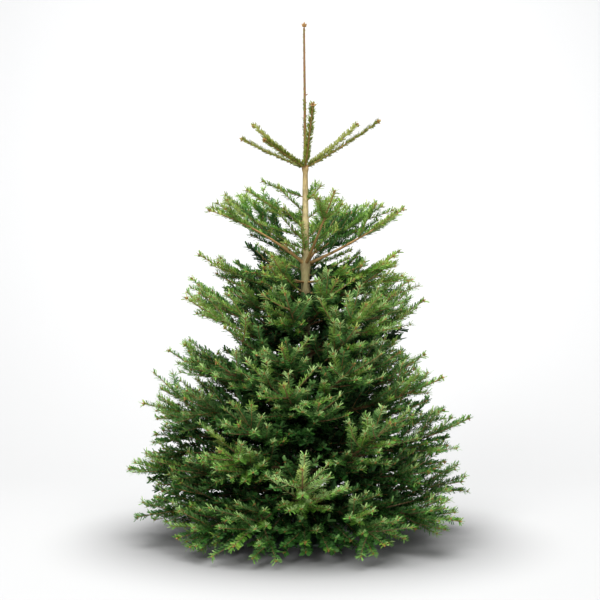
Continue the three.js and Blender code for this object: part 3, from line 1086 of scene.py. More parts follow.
    def grow_mass(self, number: int) -> None:
        """Grows one bough's stem, its forks and their fine shoots.

        Args:
            number: The bough's place in the list.
        """
        bough = self.crown.boughs[number]
        curve, whorl, node = bough.curve, bough.whorl, bough.node
        stem, needle = ShootKind.STEM, Light.OUTER.value.needle
        if whorl.single:
            top = Shoot(curve, 14.0, 3.6, 2.4, 1.3, 19.0, YOUNG_SHADE, node, stem, radial=True)
            self.shoots.append(top)
            return
        shade = self.shade_of(bough, curve)
        if not node:
            self.shorten(number)
        upper = whorl.name == "upper"
        early = bough.first_fork - self.stem_early
        start = self.bare_share * curve.length if upper else early
        density = self.old_density
        self.shoots.append(Shoot(curve, start, whorl.root, 1.6, density, needle, shade, node, stem))
        forks = self.open_forks(number)
        for fork, small in forks:
            full = mix(*self.fork_roots, min(1, fork.length / self.fork_full))
            root = self.small_root if small else full
            kind = ShootKind.FINE if small else ShootKind.FORK
            self.has_room(fork)
            self.add(number, fork, kind, root, self.shade_of(bough, fork))
        first = self.limb_first if upper else bough.first_fork
        self.side_shoots(number, curve, first, self.stem_tip, shade)
        for fork, _ in forks:
            own = self.shade_of(bough, fork)
            self.side_shoots(number, fork, self.first_side, self.fork_tip, own)
        if whorl.height < self.airy_above or curve.outward[1] > self.behind:
            self.risers(number)
        if whorl.height < self.airy_above:
            self.inner_shoots(number)

    def grow(self) -> None:
        """Grows every mass of foliage."""
        for number in range(len(self.crown.boughs)):
            self.grow_mass(number)


@dataclass(frozen=True)
class TrunkTwigs:
    """The small twigs that leave the trunk itself: (height, azimuth, pitch, length).

    Those lower down stand in the crown's shade, and carry side twigs whose dark needles fill its
    inside: painted shade.
    """

    shaded_under: float = 1000.0
    shades: tuple[float, float] = (0.05, 0.3)
    airy_shade: float = 0.7
    shaded: tuple[float, float] = (0.4, 2.0)
    spacing: float = 46.0
    angles: tuple[float, float] = (42.0, 60.0)
    side_length: float = 70.0
    rolls: tuple[float, ...] = (0, 60, 120, 180, 270)
    roll_chance: float = 20.0
    sweep_up: float = 0.3
    shortening: float = 0.9
    bare: float = 4.0
    first_side: float = 16.0
    twigs: tuple[tuple[float, float, float, float], ...] = (
        (1314, 183, 13, 160), (1296, 306, 22, 100), (1306, 64, 30, 105), (1254, 204, 34, 130),
        (1240, 160, 2, 140), (1226, 350, 34, 110), (1200, 152, 24, 260), (1216, 186, 22, 230),
        (1186, 222, 30, 120), (1180, 100, 30, 130), (1164, 178, 8, 170), (1150, 318, 30, 120),
        (1140, 205, 38, 130), (1128, 12, 26, 130), (1112, 162, 20, 150), (1098, 262, 34, 140),
        (1092, 338, 30, 140), (1088, 228, 14, 110), (1045, 20, 12, 180), (1038, 60, 22, 200),
        (1030, 160, 18, 180), (1020, 120, 20, 200), (1008, 340, 14, 170), (872, 238, 16, 150),
        (848, 285, 16, 150), (850, 220, 16, 170), (820, 300, 14, 170), (790, 250, 10, 180),
        (775, 330, 10, 180), (765, 205, 8, 180), (550, 275, 6, 190), (540, 230, 6, 200),
        (520, 310, 6, 200), (500, 255, 4, 200), (470, 264, 4, 210), (448, 312, 4, 210),
        (430, 290, 4, 200), (425, 240, 4, 200), (392, 268, 2, 220), (360, 246, 2, 220),
        (350, 294, 2, 220), (870, 70, 12, 190), (830, 130, 12, 190), (640, 95, 6, 200),
        (600, 40, 6, 200), (580, 140, 6, 200), (420, 60, 4, 200), (400, 120, 4, 200),
    )

    def grow(self, growth: Growth) -> None:
        """Adds the twigs to the tree's shoots.

        Args:
            growth: What keeps the tree's shoots.
        """
        for height, azimuth, pitch, length in self.twigs:
            turn, lift = math.radians(azimuth), math.radians(pitch)
            direction = np.array(
                [math.cos(turn) * math.cos(lift), math.sin(turn) * math.cos(lift), math.sin(lift)]
            )
            forward = UP * self.sweep_up + direction
            length = length * self.shortening
            curve = TwigSweep(trunk_middle(height), direction, forward, length)
            start = float(trunk_radius(np.array(height))) + self.bare
            low = height < self.shaded_under
            shade = float(growth.rng.uniform(*self.shades)) if low else self.airy_shade
            airy, kind = Light.AIRY.value, ShootKind.FORK
            density, broad = self.shaded if low else (airy.density, airy.breadth)
            growth.shoots.append(
                Shoot(curve, start, 2.2, 1.2, density, airy.needle, shade, "", kind, broad=broad)
            )
            place = curve.length - self.spacing
            while low and place > start + self.first_side:
                for roll in self.rolls:
                    around = roll + growth.rng.uniform(-self.roll_chance, self.roll_chance)
                    twig = growth.planned(curve, place, self.angles, around, self.side_length)
                    if growth.has_room(twig):
                        growth.add_inner(twig, shade)
                place -= self.spacing


def linear(colour: tuple[int, int, int]) -> tuple[float, float, float, float]:
    """A screen colour of 0 to 255 as the linear colour that a shader takes.

    Args:
        colour: The screen colour.

    Returns:
        The linear colour, opaque.
    """
    shares = [value / 255 for value in colour]
    tones = [v / 12.92 if v <= 0.04045 else ((v + 0.055) / 1.055) ** 2.4 for v in shares]
    return (tones[0], tones[1], tones[2], 1.0)


class Board:
    """Places the nodes of one tree and joins them."""

    def __init__(self, tree: bpy.types.NodeTree) -> None:
        """Starts on the tree given."""
        self.tree = tree

    @classmethod
    def group(
        cls,
        name: str,
        kind: str,
        inputs: dict[str, tuple[str, object]],
        outputs: dict[str, str],
    ) -> "Board":
        """Starts a new node group with named inputs and outputs.

        Args:
            name: The group's name.
            kind: The group's type.
            inputs: For each input, its socket's kind and its default, or None for no default.
            outputs: For each output, its socket's kind.

        Returns:
            The board.
        """
        tree = bpy.data.node_groups.new(name, kind)
        for title, (socket, value) in inputs.items():
            made = tree.interface.new_socket(
                title, in_out="INPUT", socket_type=f"NodeSocket{socket}"
            )
            if value is not None:
                made.default_value = value
        for title, socket in outputs.items():
            tree.interface.new_socket(title, in_out="OUTPUT", socket_type=f"NodeSocket{socket}")
        return cls(tree)

    def feed(self, node: bpy.types.Node, inputs: dict[int | str, object]) -> bpy.types.Node:
        """Gives a node its inputs.

        Args:
            node: The node.
            inputs: For each input, a value or the output socket that feeds it.

        Returns:
            The node.
        """
        for key, value in inputs.items():
            if isinstance(value, bpy.types.NodeSocket):
                self.tree.links.new(value, node.inputs[key])
            else:
                node.inputs[key].default_value = value
        return node

    def put(
        self, kind: str, inputs: dict[int | str, object] | None = None, **settings: object
    ) -> bpy.types.Node:
        """Adds a node.

        Args:
            kind: The node's type.
            inputs: For each input, a value or the output socket that feeds it.
            settings: The node's own properties.

        Returns:
            The node.
        """
        node = self.tree.nodes.new(kind)
        for name, value in settings.items():
            setattr(node, name, value)
        return self.feed(node, inputs or {})

    def maths(self, operation: str, *inputs: object) -> bpy.types.NodeSocket:
        """Adds a Math node for a shader or geometry tree and returns its result."""
        return self.put("ShaderNodeMath", dict(enumerate(inputs)), operation=operation).outputs[0]

    def scaled(self, vector: object, factor: object) -> bpy.types.NodeSocket:
        """Multiplies a vector by another, part by part, and returns the result."""
        values = {0: vector, 1: factor}
        return self.put("ShaderNodeVectorMath", values, operation="MULTIPLY").outputs[0]

    def squeezed(self, vector: object, stretch: object) -> bpy.types.NodeSocket:
        """Multiplies a vector's height by the stretch and returns the result."""
        factor = self.put("ShaderNodeCombineXYZ", {0: 1.0, 1: 1.0, 2: stretch})
        return self.scaled(vector, factor.outputs[0])

    def marked(self, name: str, kind: str = "FLOAT") -> bpy.types.NodeSocket:
        """The values of a mesh's named attribute."""
        values = {"Name": name}
        return self.put("GeometryNodeInputNamedAttribute", values, data_type=kind).outputs[0]

    def noise(
        self, vector: object, scale: object, detail: float, roughness: float = 0.5
    ) -> bpy.types.NodeSocket:
        """Adds noise over the vector's space and returns its value."""
        values = {"Vector": vector, "Scale": scale, "Detail": detail, "Roughness": roughness}
        return self.put("ShaderNodeTexNoise", values).outputs[0]

    def ranged(
        self,
        value: object,
        start: tuple[object, object] = (0.0, 1.0),
        end: tuple[object, object] = (0.0, 1.0),
        **settings: object,
    ) -> bpy.types.NodeSocket:
        """Carries a value from one range over to another.

        Args:
            value: The value.
            start: The range that it comes from.
            end: The range that it goes to.
            settings: The node's own properties.

        Returns:
            The result.
        """
        inputs = {"Value": value, "From Min": start[0], "From Max": start[1]}
        inputs.update({"To Min": end[0], "To Max": end[1]})
        return self.put("ShaderNodeMapRange", inputs, **settings).outputs[0]

    def finish(
        self, geometry: bpy.types.Node, material: object, selection: object = True
    ) -> bpy.types.Node:
        """Gives the selected faces of a node's geometry a material."""
        values = {"Geometry": geometry.outputs[0], "Selection": selection, "Material": material}
        return self.put("GeometryNodeSetMaterial", values)


class SprigTree:
    """The geometry tree that sets one small shape, a needle or a bud, on every marked point."""

    def __init__(self) -> None:
        """Builds the tree with its named inputs."""
        inputs = {
            "Points": ("Geometry", None),
            "Shape": ("Object", None),
            "Length": ("Float", METRES),
            "Width": ("Float", 0.003),
            "Upper finish": ("Material", None),
            "Under finish": ("Material", None),
        }
        board = Board.group("sprigs_on_points", "GeometryNodeTree", inputs, {"Sprigs": "Geometry"})
        given = board.put("NodeGroupInput").outputs
        turn = board.put(
            "FunctionNodeAxesToRotation",
            {0: board.marked("along", "FLOAT_VECTOR"), 1: board.marked("face", "FLOAT_VECTOR")},
            primary_axis="X",
            secondary_axis="Z",
        )
        length = board.maths("MULTIPLY", given["Length"], board.marked("share"))
        girth = board.maths("MULTIPLY", given["Width"], board.marked("broad"))
        size = board.put("ShaderNodeCombineXYZ", {0: length, 1: girth, 2: girth})
        shape = board.put("GeometryNodeObjectInfo", {"Object": given["Shape"]})
        sprigs = board.put(
            "GeometryNodeInstanceOnPoints",
            {
                "Points": given["Points"],
                "Instance": shape.outputs["Geometry"],
                "Rotation": turn.outputs[0],
                "Scale": size.outputs[0],
            },
        )
        solid = board.put("GeometryNodeRealizeInstances", {0: sprigs.outputs[0]})
        upper = board.finish(solid, given["Upper finish"])
        under = board.finish(upper, given["Under finish"], board.marked("beneath", "BOOLEAN"))
        board.put("NodeGroupOutput", {0: under.outputs[0]})
        self.tree = board.tree

    def set_on(
        self,
        points: bpy.types.Object,
        shape: bpy.types.Object,
        width: float,
        upper: bpy.types.Material,
        under: bpy.types.Material,
    ) -> None:
        """Sets a unit shape on every point; the point's share is its length in millimetres.

        Args:
            points: The object of points, which becomes the joined shapes.
            shape: The shape.
            width: Its breadth in metres.
            upper: The finish of its upper faces.
            under: The finish of the faces beneath.
        """
        values = {"Shape": shape, "Length": METRES, "Width": width}
        grown(points, self.tree, {**values, "Upper finish": upper, "Under finish": under})


class LimbTree:
    """The geometry tree that wraps bark with relief round every line of marked points."""

    def __init__(self) -> None:
        """Builds the tree with its named inputs."""
        inputs = {
            "Lines": ("Geometry", None),
            "Sides": ("Int", 8),
            "Relief": ("Float", 0.0),
            "Grain": ("Float", 100.0),
            "Stretch": ("Float", 0.3),
            "Finish": ("Material", None),
        }
        board = Board.group("bark_round_lines", "GeometryNodeTree", inputs, {"Limbs": "Geometry"})
        given = board.put("NodeGroupInput").outputs
        lines = board.put("GeometryNodeMeshToCurve", {0: given["Lines"]})
        thick = board.put(
            "GeometryNodeSetCurveRadius",
            {"Curve": lines.outputs[0], "Radius": board.marked("girth")},
        )
        ring = board.put(
            "GeometryNodeCurvePrimitiveCircle", {"Resolution": given["Sides"], "Radius": 1.0}
        )
        tube = board.put(
            "GeometryNodeCurveToMesh",
            {
                "Curve": thick.outputs[0],
                "Profile Curve": ring.outputs[0],
                "Scale": board.put("GeometryNodeInputRadius").outputs[0],
                "Fill Caps": True,
            },
        )
        place = board.squeezed(board.put("GeometryNodeInputPosition").outputs[0], given["Stretch"])
        noise = board.noise(place, given["Grain"], 4.0, 0.62)
        lift = board.maths("MULTIPLY", board.maths("SUBTRACT", noise, 0.5), given["Relief"])
        normal = board.put("GeometryNodeInputNormal").outputs[0]
        rough = board.put(
            "GeometryNodeSetPosition",
            {"Geometry": tube.outputs[0], "Offset": board.scaled(normal, lift)},
        )
        smooth = board.put("GeometryNodeSetShadeSmooth", {"Geometry": rough.outputs[0]})
        solid = board.put("GeometryNodeRealizeInstances", {0: smooth.outputs[0]})
        finish = board.finish(solid, given["Finish"])
        board.put("NodeGroupOutput", {0: finish.outputs[0]})
        self.tree = board.tree

    def wrap(
        self,
        lines: bpy.types.Object,
        finish: bpy.types.Material,
        sides: int,
        relief: float,
        grain: float,
        stretch: float = 1.0,
    ) -> None:
        """Wraps bark round every line.

        Args:
            lines: The object of lines, which becomes the bark.
            finish: The bark's material.
            sides: The number of flats round a limb.
            relief: The depth of its relief in metres.
            grain: The fineness of the relief.
            stretch: Less than 1 draws the relief out lengthwise on an upright stem.
        """
        values = {"Sides": sides, "Relief": relief, "Grain": grain, "Stretch": stretch}
        grown(lines, self.tree, {**values, "Finish": finish})


def new_object(name: str, mesh: bpy.types.Mesh) -> bpy.types.Object:
    """Puts a mesh in the scene as an object at the origin.

    Args:
        name: The object's name.
        mesh: The mesh.

    Returns:
        The object.
    """
    made = bpy.data.objects.new(name, mesh)
    bpy.context.scene.collection.objects.link(made)
    return made


def mark(mesh: bpy.types.Mesh, name: str, kind: str, domain: str, values: np.ndarray) -> None:
    """Gives a mesh a named attribute.

    Args:
        mesh: The mesh.
        name: The attribute's name.
        kind: Its data type.
        domain: What each value belongs to.
        values: The values in order.
    """
    attribute = mesh.attributes.new(name, kind, domain)
    key = "vector" if kind == "FLOAT_VECTOR" else "value"
    attribute.data.foreach_set(key, np.ascontiguousarray(values).ravel())


def grown(source: bpy.types.Object, tree: bpy.types.NodeTree, values: dict[str, object]) -> None:
    """Runs a geometry tree on an object and keeps the result as its plain mesh.

    Args:
        source: The object whose mesh feeds the tree.
        tree: The geometry tree.
        values: A value for each named input.
    """
    modifier = source.modifiers.new("growth", "NODES")
    modifier.node_group = tree
    for item in tree.interface.items_tree:
        if item.item_type == "SOCKET" and item.in_out == "INPUT" and item.name in values:
            modifier[item.identifier] = values[item.name]
    found = source.evaluated_get(bpy.context.evaluated_depsgraph_get())
    mesh = bpy.data.meshes.new_from_object(found)
    source.modifiers.clear()
    old, source.data = source.data, mesh
    mesh.name = source.name
    bpy.data.meshes.remove(old)
    for name in ("along", "face", "share", "broad", "beneath", "girth"):
        if name in mesh.attributes:
            mesh.attributes.remove(mesh.attributes[name])


def finished(piece: bpy.types.Object, nodes: list[str]) -> None:
    """Ties a finished piece to the frame and logs it.

    Args:
        piece: The piece.
        nodes: The CAD nodes that it stands for.
    """
    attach(piece, "root")
    if nodes:
        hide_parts(*nodes)
    piece.data.calc_loop_triangles()
    LOG.info("%s: %d triangles", piece.name, len(piece.data.loop_triangles))


class Surface(Board):
    """The shader tree of one new material."""

    def __init__(self, name: str) -> None:
        """Makes the material with its Principled shader.

        Args:
            name: The material's name.
        """
        self.material = bpy.data.materials.new(name)
        self.material.use_nodes = True
        super().__init__(self.material.node_tree)

    def place(self) -> bpy.types.NodeSocket:
        """The Object coordinates."""
        return self.put("ShaderNodeTexCoord").outputs["Object"]

    def blended(self, share: object, first: object, last: object) -> bpy.types.NodeSocket:
        """The colour that lies a share of the way from the first to the last."""
        values = {0: share, 6: first, 7: last}
        return self.put("ShaderNodeMix", values, data_type="RGBA").outputs[2]

    def bump(self, height: object, strength: float, distance: float) -> bpy.types.NodeSocket:
        """The normal of a surface that rises with the height given."""
        values = {"Height": height, "Strength": strength, "Distance": distance}
        return self.put("ShaderNodeBump", values).outputs[0]

    def shaded(self, inputs: dict[int | str, object]) -> bpy.types.Material:
        """Feeds the Principled shader's inputs and returns the material."""
        self.feed(self.tree.nodes["Principled BSDF"], inputs)
        return self.material


@dataclass(frozen=True)
class PlainFinish:
    """One plain colour, for a side of the needles, young twigs or buds."""

    name: str
    colour: tuple[int, int, int]
    roughness: float
    gloss: float = 0.5

    def material(self) -> bpy.types.Material:
        """The material."""
        values = {"Base Color": linear(self.colour), "Roughness": self.roughness}
        return Surface(self.name).shaded({**values, "Specular IOR Level": self.gloss})


@dataclass(frozen=True)
class NeedleFinish:
    """A waxy needle's two plain colours: its green upper face and its paler underside."""

    name: str
    upper: tuple[int, int, int]
    under: tuple[int, int, int]
    roughness: float = 0.5
    gloss: float = 0.2

    def both(self) -> list[bpy.types.Material]:
        """The materials of the upper face and the underside.

        Returns:
            The two materials, in that order.
        """
        sides = (("upper", self.upper), ("under", self.under))
        return [
            PlainFinish(f"{self.name}_{side}", colour, self.roughness, self.gloss).material()
            for side, colour in sides
        ]


class NeedleTint(Enum):
    """The tints that are dealt out spray by spray, from deep in the crown to its top.

    The darker tints deep in the crown and low down, and the lighter ones high up and in full light,
    are partly the needles' own age and partly painted shade and light.
    """

    SHADED = NeedleFinish("needle_shaded", (14, 38, 11), (26, 48, 20), 0.62)
    DEEP = NeedleFinish("needle_deep", (22, 54, 16), (38, 70, 30), 0.58)
    GROWN = NeedleFinish("needle_grown", (30, 68, 20), (58, 92, 44), 0.54)
    MIDDLE = NeedleFinish("needle_middle", (44, 84, 28), (82, 116, 60), 0.5)
    FRESH = NeedleFinish("needle_fresh", (68, 108, 30), (110, 140, 62), 0.46)
    TIP = NeedleFinish("needle_tip", (98, 128, 40), (138, 154, 80), 0.44)
    PALE = NeedleFinish("needle_pale", (86, 126, 50), (142, 168, 104), 0.44)
    YOUNG = NeedleFinish("needle_young", (94, 104, 34), (126, 132, 64), 0.5)


# Shades beyond 1 name a tint of their own.
PALE_SHADE = 2.0
YOUNG_SHADE = 3.0
SPECIAL_TINTS = {PALE_SHADE: NeedleTint.PALE, YOUNG_SHADE: NeedleTint.YOUNG}


class BarkGrain:
    """The shader group that trunk and boughs share: mottled patches over fine lengthwise grain."""

    def __init__(self) -> None:
        """Builds the group with its named inputs and outputs."""
        inputs = {"Patch": ("Float", 30.0), "Grain": ("Float", 160.0), "Stretch": ("Float", 0.25)}
        outputs = {"Mottle": "Float", "Height": "Float"}
        board = Board.group("bark_grain", "ShaderNodeTree", inputs, outputs)
        given = board.put("NodeGroupInput").outputs
        place = board.put("ShaderNodeTexCoord").outputs["Object"]
        patch = board.noise(place, given["Patch"], 3.0)
        grain = board.noise(board.squeezed(place, given["Stretch"]), given["Grain"], 5.0, 0.7)
        coarse, fine = board.maths("MULTIPLY", patch, 0.55), board.maths("MULTIPLY", grain, 0.45)
        board.put("NodeGroupOutput", {0: board.maths("ADD", coarse, fine), 1: grain})
        self.tree = board.tree


@dataclass(frozen=True)
class BarkFinish:
    """Bark whose tone changes up the tree, mottled by a dark tone.

    The stops are (height in metres, screen colour).
    """

    name: str
    stops: tuple[tuple[float, tuple[int, int, int]], ...]
    dark: tuple[int, int, int]
    patch: float
    grain: float
    mottled: float
    marks: tuple[float, float] = (0.42, 0.6)
    roughness: tuple[float, float] = (0.62, 0.92)
    bump: float = 0.35
    depth: float = 0.001

    def material(self, grain: BarkGrain) -> bpy.types.Material:
        """The material.

        Args:
            grain: The shared shader group.

        Returns:
            The material.
        """
        surface, top = Surface(self.name), TREE_HEIGHT * METRES
        values = {"Patch": self.patch, "Grain": self.grain}
        marks = surface.put("ShaderNodeGroup", node_tree=grain.tree)
        surface.feed(marks, values)
        height = surface.put("ShaderNodeSeparateXYZ", {0: surface.place()}).outputs[2]
        tone = surface.put("ShaderNodeValToRGB", {0: surface.maths("DIVIDE", height, top)})
        ramp = tone.color_ramp
        while len(ramp.elements) < len(self.stops):
            ramp.elements.new(0.5)
        for element, (level, colour) in zip(ramp.elements, self.stops):
            element.position = level / top
            element.color = linear(colour)
        mottle, rise = marks.outputs["Mottle"], marks.outputs["Height"]
        share = surface.maths("MULTIPLY", surface.ranged(mottle, self.marks), self.mottled)
        return surface.shaded(
            {
                "Base Color": surface.blended(share, tone.outputs[0], linear(self.dark)),
                "Roughness": surface.ranged(rise, end=self.roughness),
                "Normal": surface.bump(rise, self.bump, self.depth),
            }
        )


def lines_mesh(name: str, runs: list[tuple[np.ndarray, np.ndarray]]) -> bpy.types.Object:
    """An object of open lines, each point marked with its girth.

    Args:
        name: The object's name.
        runs: For each line, its points and its radii, in millimetres.

    Returns:
        The object.
    """
    points = np.concatenate([run[0] for run in runs]) * METRES
    girth = np.concatenate([run[1] for run in runs]) * METRES
    edges, base = [], 0
    for run, _ in runs:
        steps = np.arange(base, base + len(run) - 1)
        edges.append(np.stack([steps, steps + 1], axis=1))
        base += len(run)
    mesh = bpy.data.meshes.new(name)
    mesh.from_pydata(points.tolist(), np.concatenate(edges).tolist(), [])
    mark(mesh, "girth", "FLOAT", "POINT", girth)
    return new_object(name, mesh)


@dataclass
class Trunk:
    """The stem from its flat cut in the stand to the leader's tip, with a collar at every whorl.

    A collar is how far it reaches up and down the stem, in millimetres, and its share of the girth.
    """

    sides: int = 22
    rings: int = 326
    relief: float = 0.0024
    grain: float = 62.0
    stretch: float = 0.35
    collar: tuple[float, float] = (26.0, 0.2)
    crown_collar: tuple[float, float] = (14.0, 0.5)
    ripples: tuple[tuple[float, float], ...] = ((0.02, 23.0), (0.015, 9.1))
    finish: BarkFinish = BarkFinish(
        "trunk_bark",
        (
            (0.0, (78, 70, 52)),
            (0.6, (98, 90, 62)),
            (1.0, (128, 120, 78)),
            (1.3, (176, 160, 114)),
            (1.42, (160, 136, 88)),
            (1.46, (108, 70, 24)),
            (2.0, (102, 64, 20)),
        ),
        (92, 74, 42),
        34.0,
        210.0,
        0.62,
    )

    def build(self, limbs: LimbTree, grain: BarkGrain) -> None:
        """Builds the trunk's mesh with its relief.

        Args:
            limbs: The tree that wraps bark round lines.
            grain: The shared shader group.
        """
        height = np.linspace(BUTT_HEIGHT, LEADER_TOP + 3, self.rings)
        girth = trunk_radius(height)
        for whorl in WHORLS:
            reach, swell = self.collar if whorl.height < CROWN_HEIGHT else self.crown_collar
            girth = girth * (1 + swell * np.exp(-(((height - whorl.height) / reach) ** 2)))
        girth = girth * (1 + sum(depth * np.sin(height / wave) for depth, wave in self.ripples))
        piece, bark = lines_mesh("trunk_bark", [(trunk_middle(height), girth)]), self.finish
        limbs.wrap(piece, bark.material(grain), self.sides, self.relief, self.grain, self.stretch)
        finished(piece, ["trunk"])


@dataclass(frozen=True)
class WoodPlan:
    """How one kind of shoot is built: where it begins, its steps, its sides and its relief."""

    name: str
    kind: ShootKind
    begin: float
    steps: int
    sides: int
    relief: float


@dataclass
class Wood:
    """The limbs, forks and fine twigs that carry the needles."""

    plans: tuple[WoodPlan, ...] = (
        WoodPlan("limbs", ShootKind.STEM, 4.0, 18, 7, 0.0016),
        WoodPlan("forks", ShootKind.FORK, 0.0, 5, 5, 0.0006),
        WoodPlan("fine_twigs", ShootKind.FINE, 0.0, 2, 3, 0.0),
    )
    grain: float = 140.0
    bark: BarkFinish = BarkFinish(
        "bough_bark",
        (
            (0.0, (88, 70, 44)),
            (0.8, (112, 84, 48)),
            (1.0, (128, 102, 56)),
            (1.3, (138, 106, 58)),
            (1.7, (140, 108, 62)),
        ),
        (96, 62, 30),
        60.0,
        320.0,
        0.55,
    )
    young: PlainFinish = PlainFinish("twig_bark", (124, 88, 46), 0.8)

    @staticmethod
    def run_of(shoot: Shoot, plan: WoodPlan) -> tuple[np.ndarray, np.ndarray]:
        """A shoot's points and radii."""
        places = np.linspace(plan.begin, shoot.curve.length, plan.steps + 1)
        return shoot.curve.at(places), shoot.girth(places)

    def build(self, shoots: list[Shoot], limbs: LimbTree, grain: BarkGrain) -> None:
        """Builds the wood of every shoot.

        Args:
            shoots: All the shoots.
            limbs: The tree that wraps bark round lines.
            grain: The shared shader group.
        """
        bark, young = self.bark.material(grain), self.young.material()
        boughs = [
            f"{whorl.name}_bough_{index + 1}"
            for whorl in WHORLS
            if whorl.bare
            for index in range(len(whorl.azimuths))
        ]
        for plan in self.plans:
            runs = [self.run_of(shoot, plan) for shoot in shoots if shoot.kind is plan.kind]
            piece = lines_mesh(plan.name, runs)
            finish = young if plan.kind is ShootKind.FINE else bark
            limbs.wrap(piece, finish, plan.sides, plan.relief, self.grain)
            finished(piece, boughs if plan.kind is ShootKind.STEM else [])


@dataclass
class SprigPoints:
    """The points of many small shapes: where each stands, how it is turned, and its size."""

    place: np.ndarray
    along: np.ndarray
    face: np.ndarray
    share: np.ndarray
    broad: np.ndarray

    @classmethod
    def joined(cls, parts: list["SprigPoints"]) -> "SprigPoints":
        """All the parts' points in one."""
        return cls(*map(np.concatenate, zip(*(vars(part).values() for part in parts))))

    def where(self, chosen: np.ndarray) -> "SprigPoints":
        """The chosen points alone."""
        return SprigPoints(*(values[chosen] for values in vars(self).values()))

    def object(self, name: str) -> bpy.types.Object:
        """The points as an object that a geometry tree can read.

        Args:
            name: The object's name.

        Returns:
            The object.
        """
        mesh = bpy.data.meshes.new(name)
        mesh.vertices.add(len(self.place))
        mesh.vertices.foreach_set("co", (self.place * METRES).ravel())
        for key, kind in (("along", "_VECTOR"), ("face", "_VECTOR"), ("share", ""), ("broad", "")):
            mark(mesh, key, "FLOAT" + kind, "POINT", getattr(self, key))
        return new_object(name, mesh)


@dataclass(frozen=True)
class Comb:
    """How needles stand round their twig, in degrees.

    They lift from `lowest` by up to `span`, gathered low by `power`. They lean from the twig's
    heading by `lean` and a chance, upright ones by `less` less. `sizes` is their lengths' range.
    """

    lowest: float
    span: float
    power: float
    chance: tuple[float, float]
    sizes: tuple[float, float]
    lean: float = 0.0
    less: float = 0.0


class Combing(Enum):
    """The ways that needles stand: to both sides and parted beneath, or all round the twig."""

    FLAT = Comb(-34, 122, 1.15, (-12, 9), (0.82, 1.08), lean=56.0, less=12.0)
    ROUND = Comb(-70, 155, 0.7, (38, 66), (0.7, 1.05))


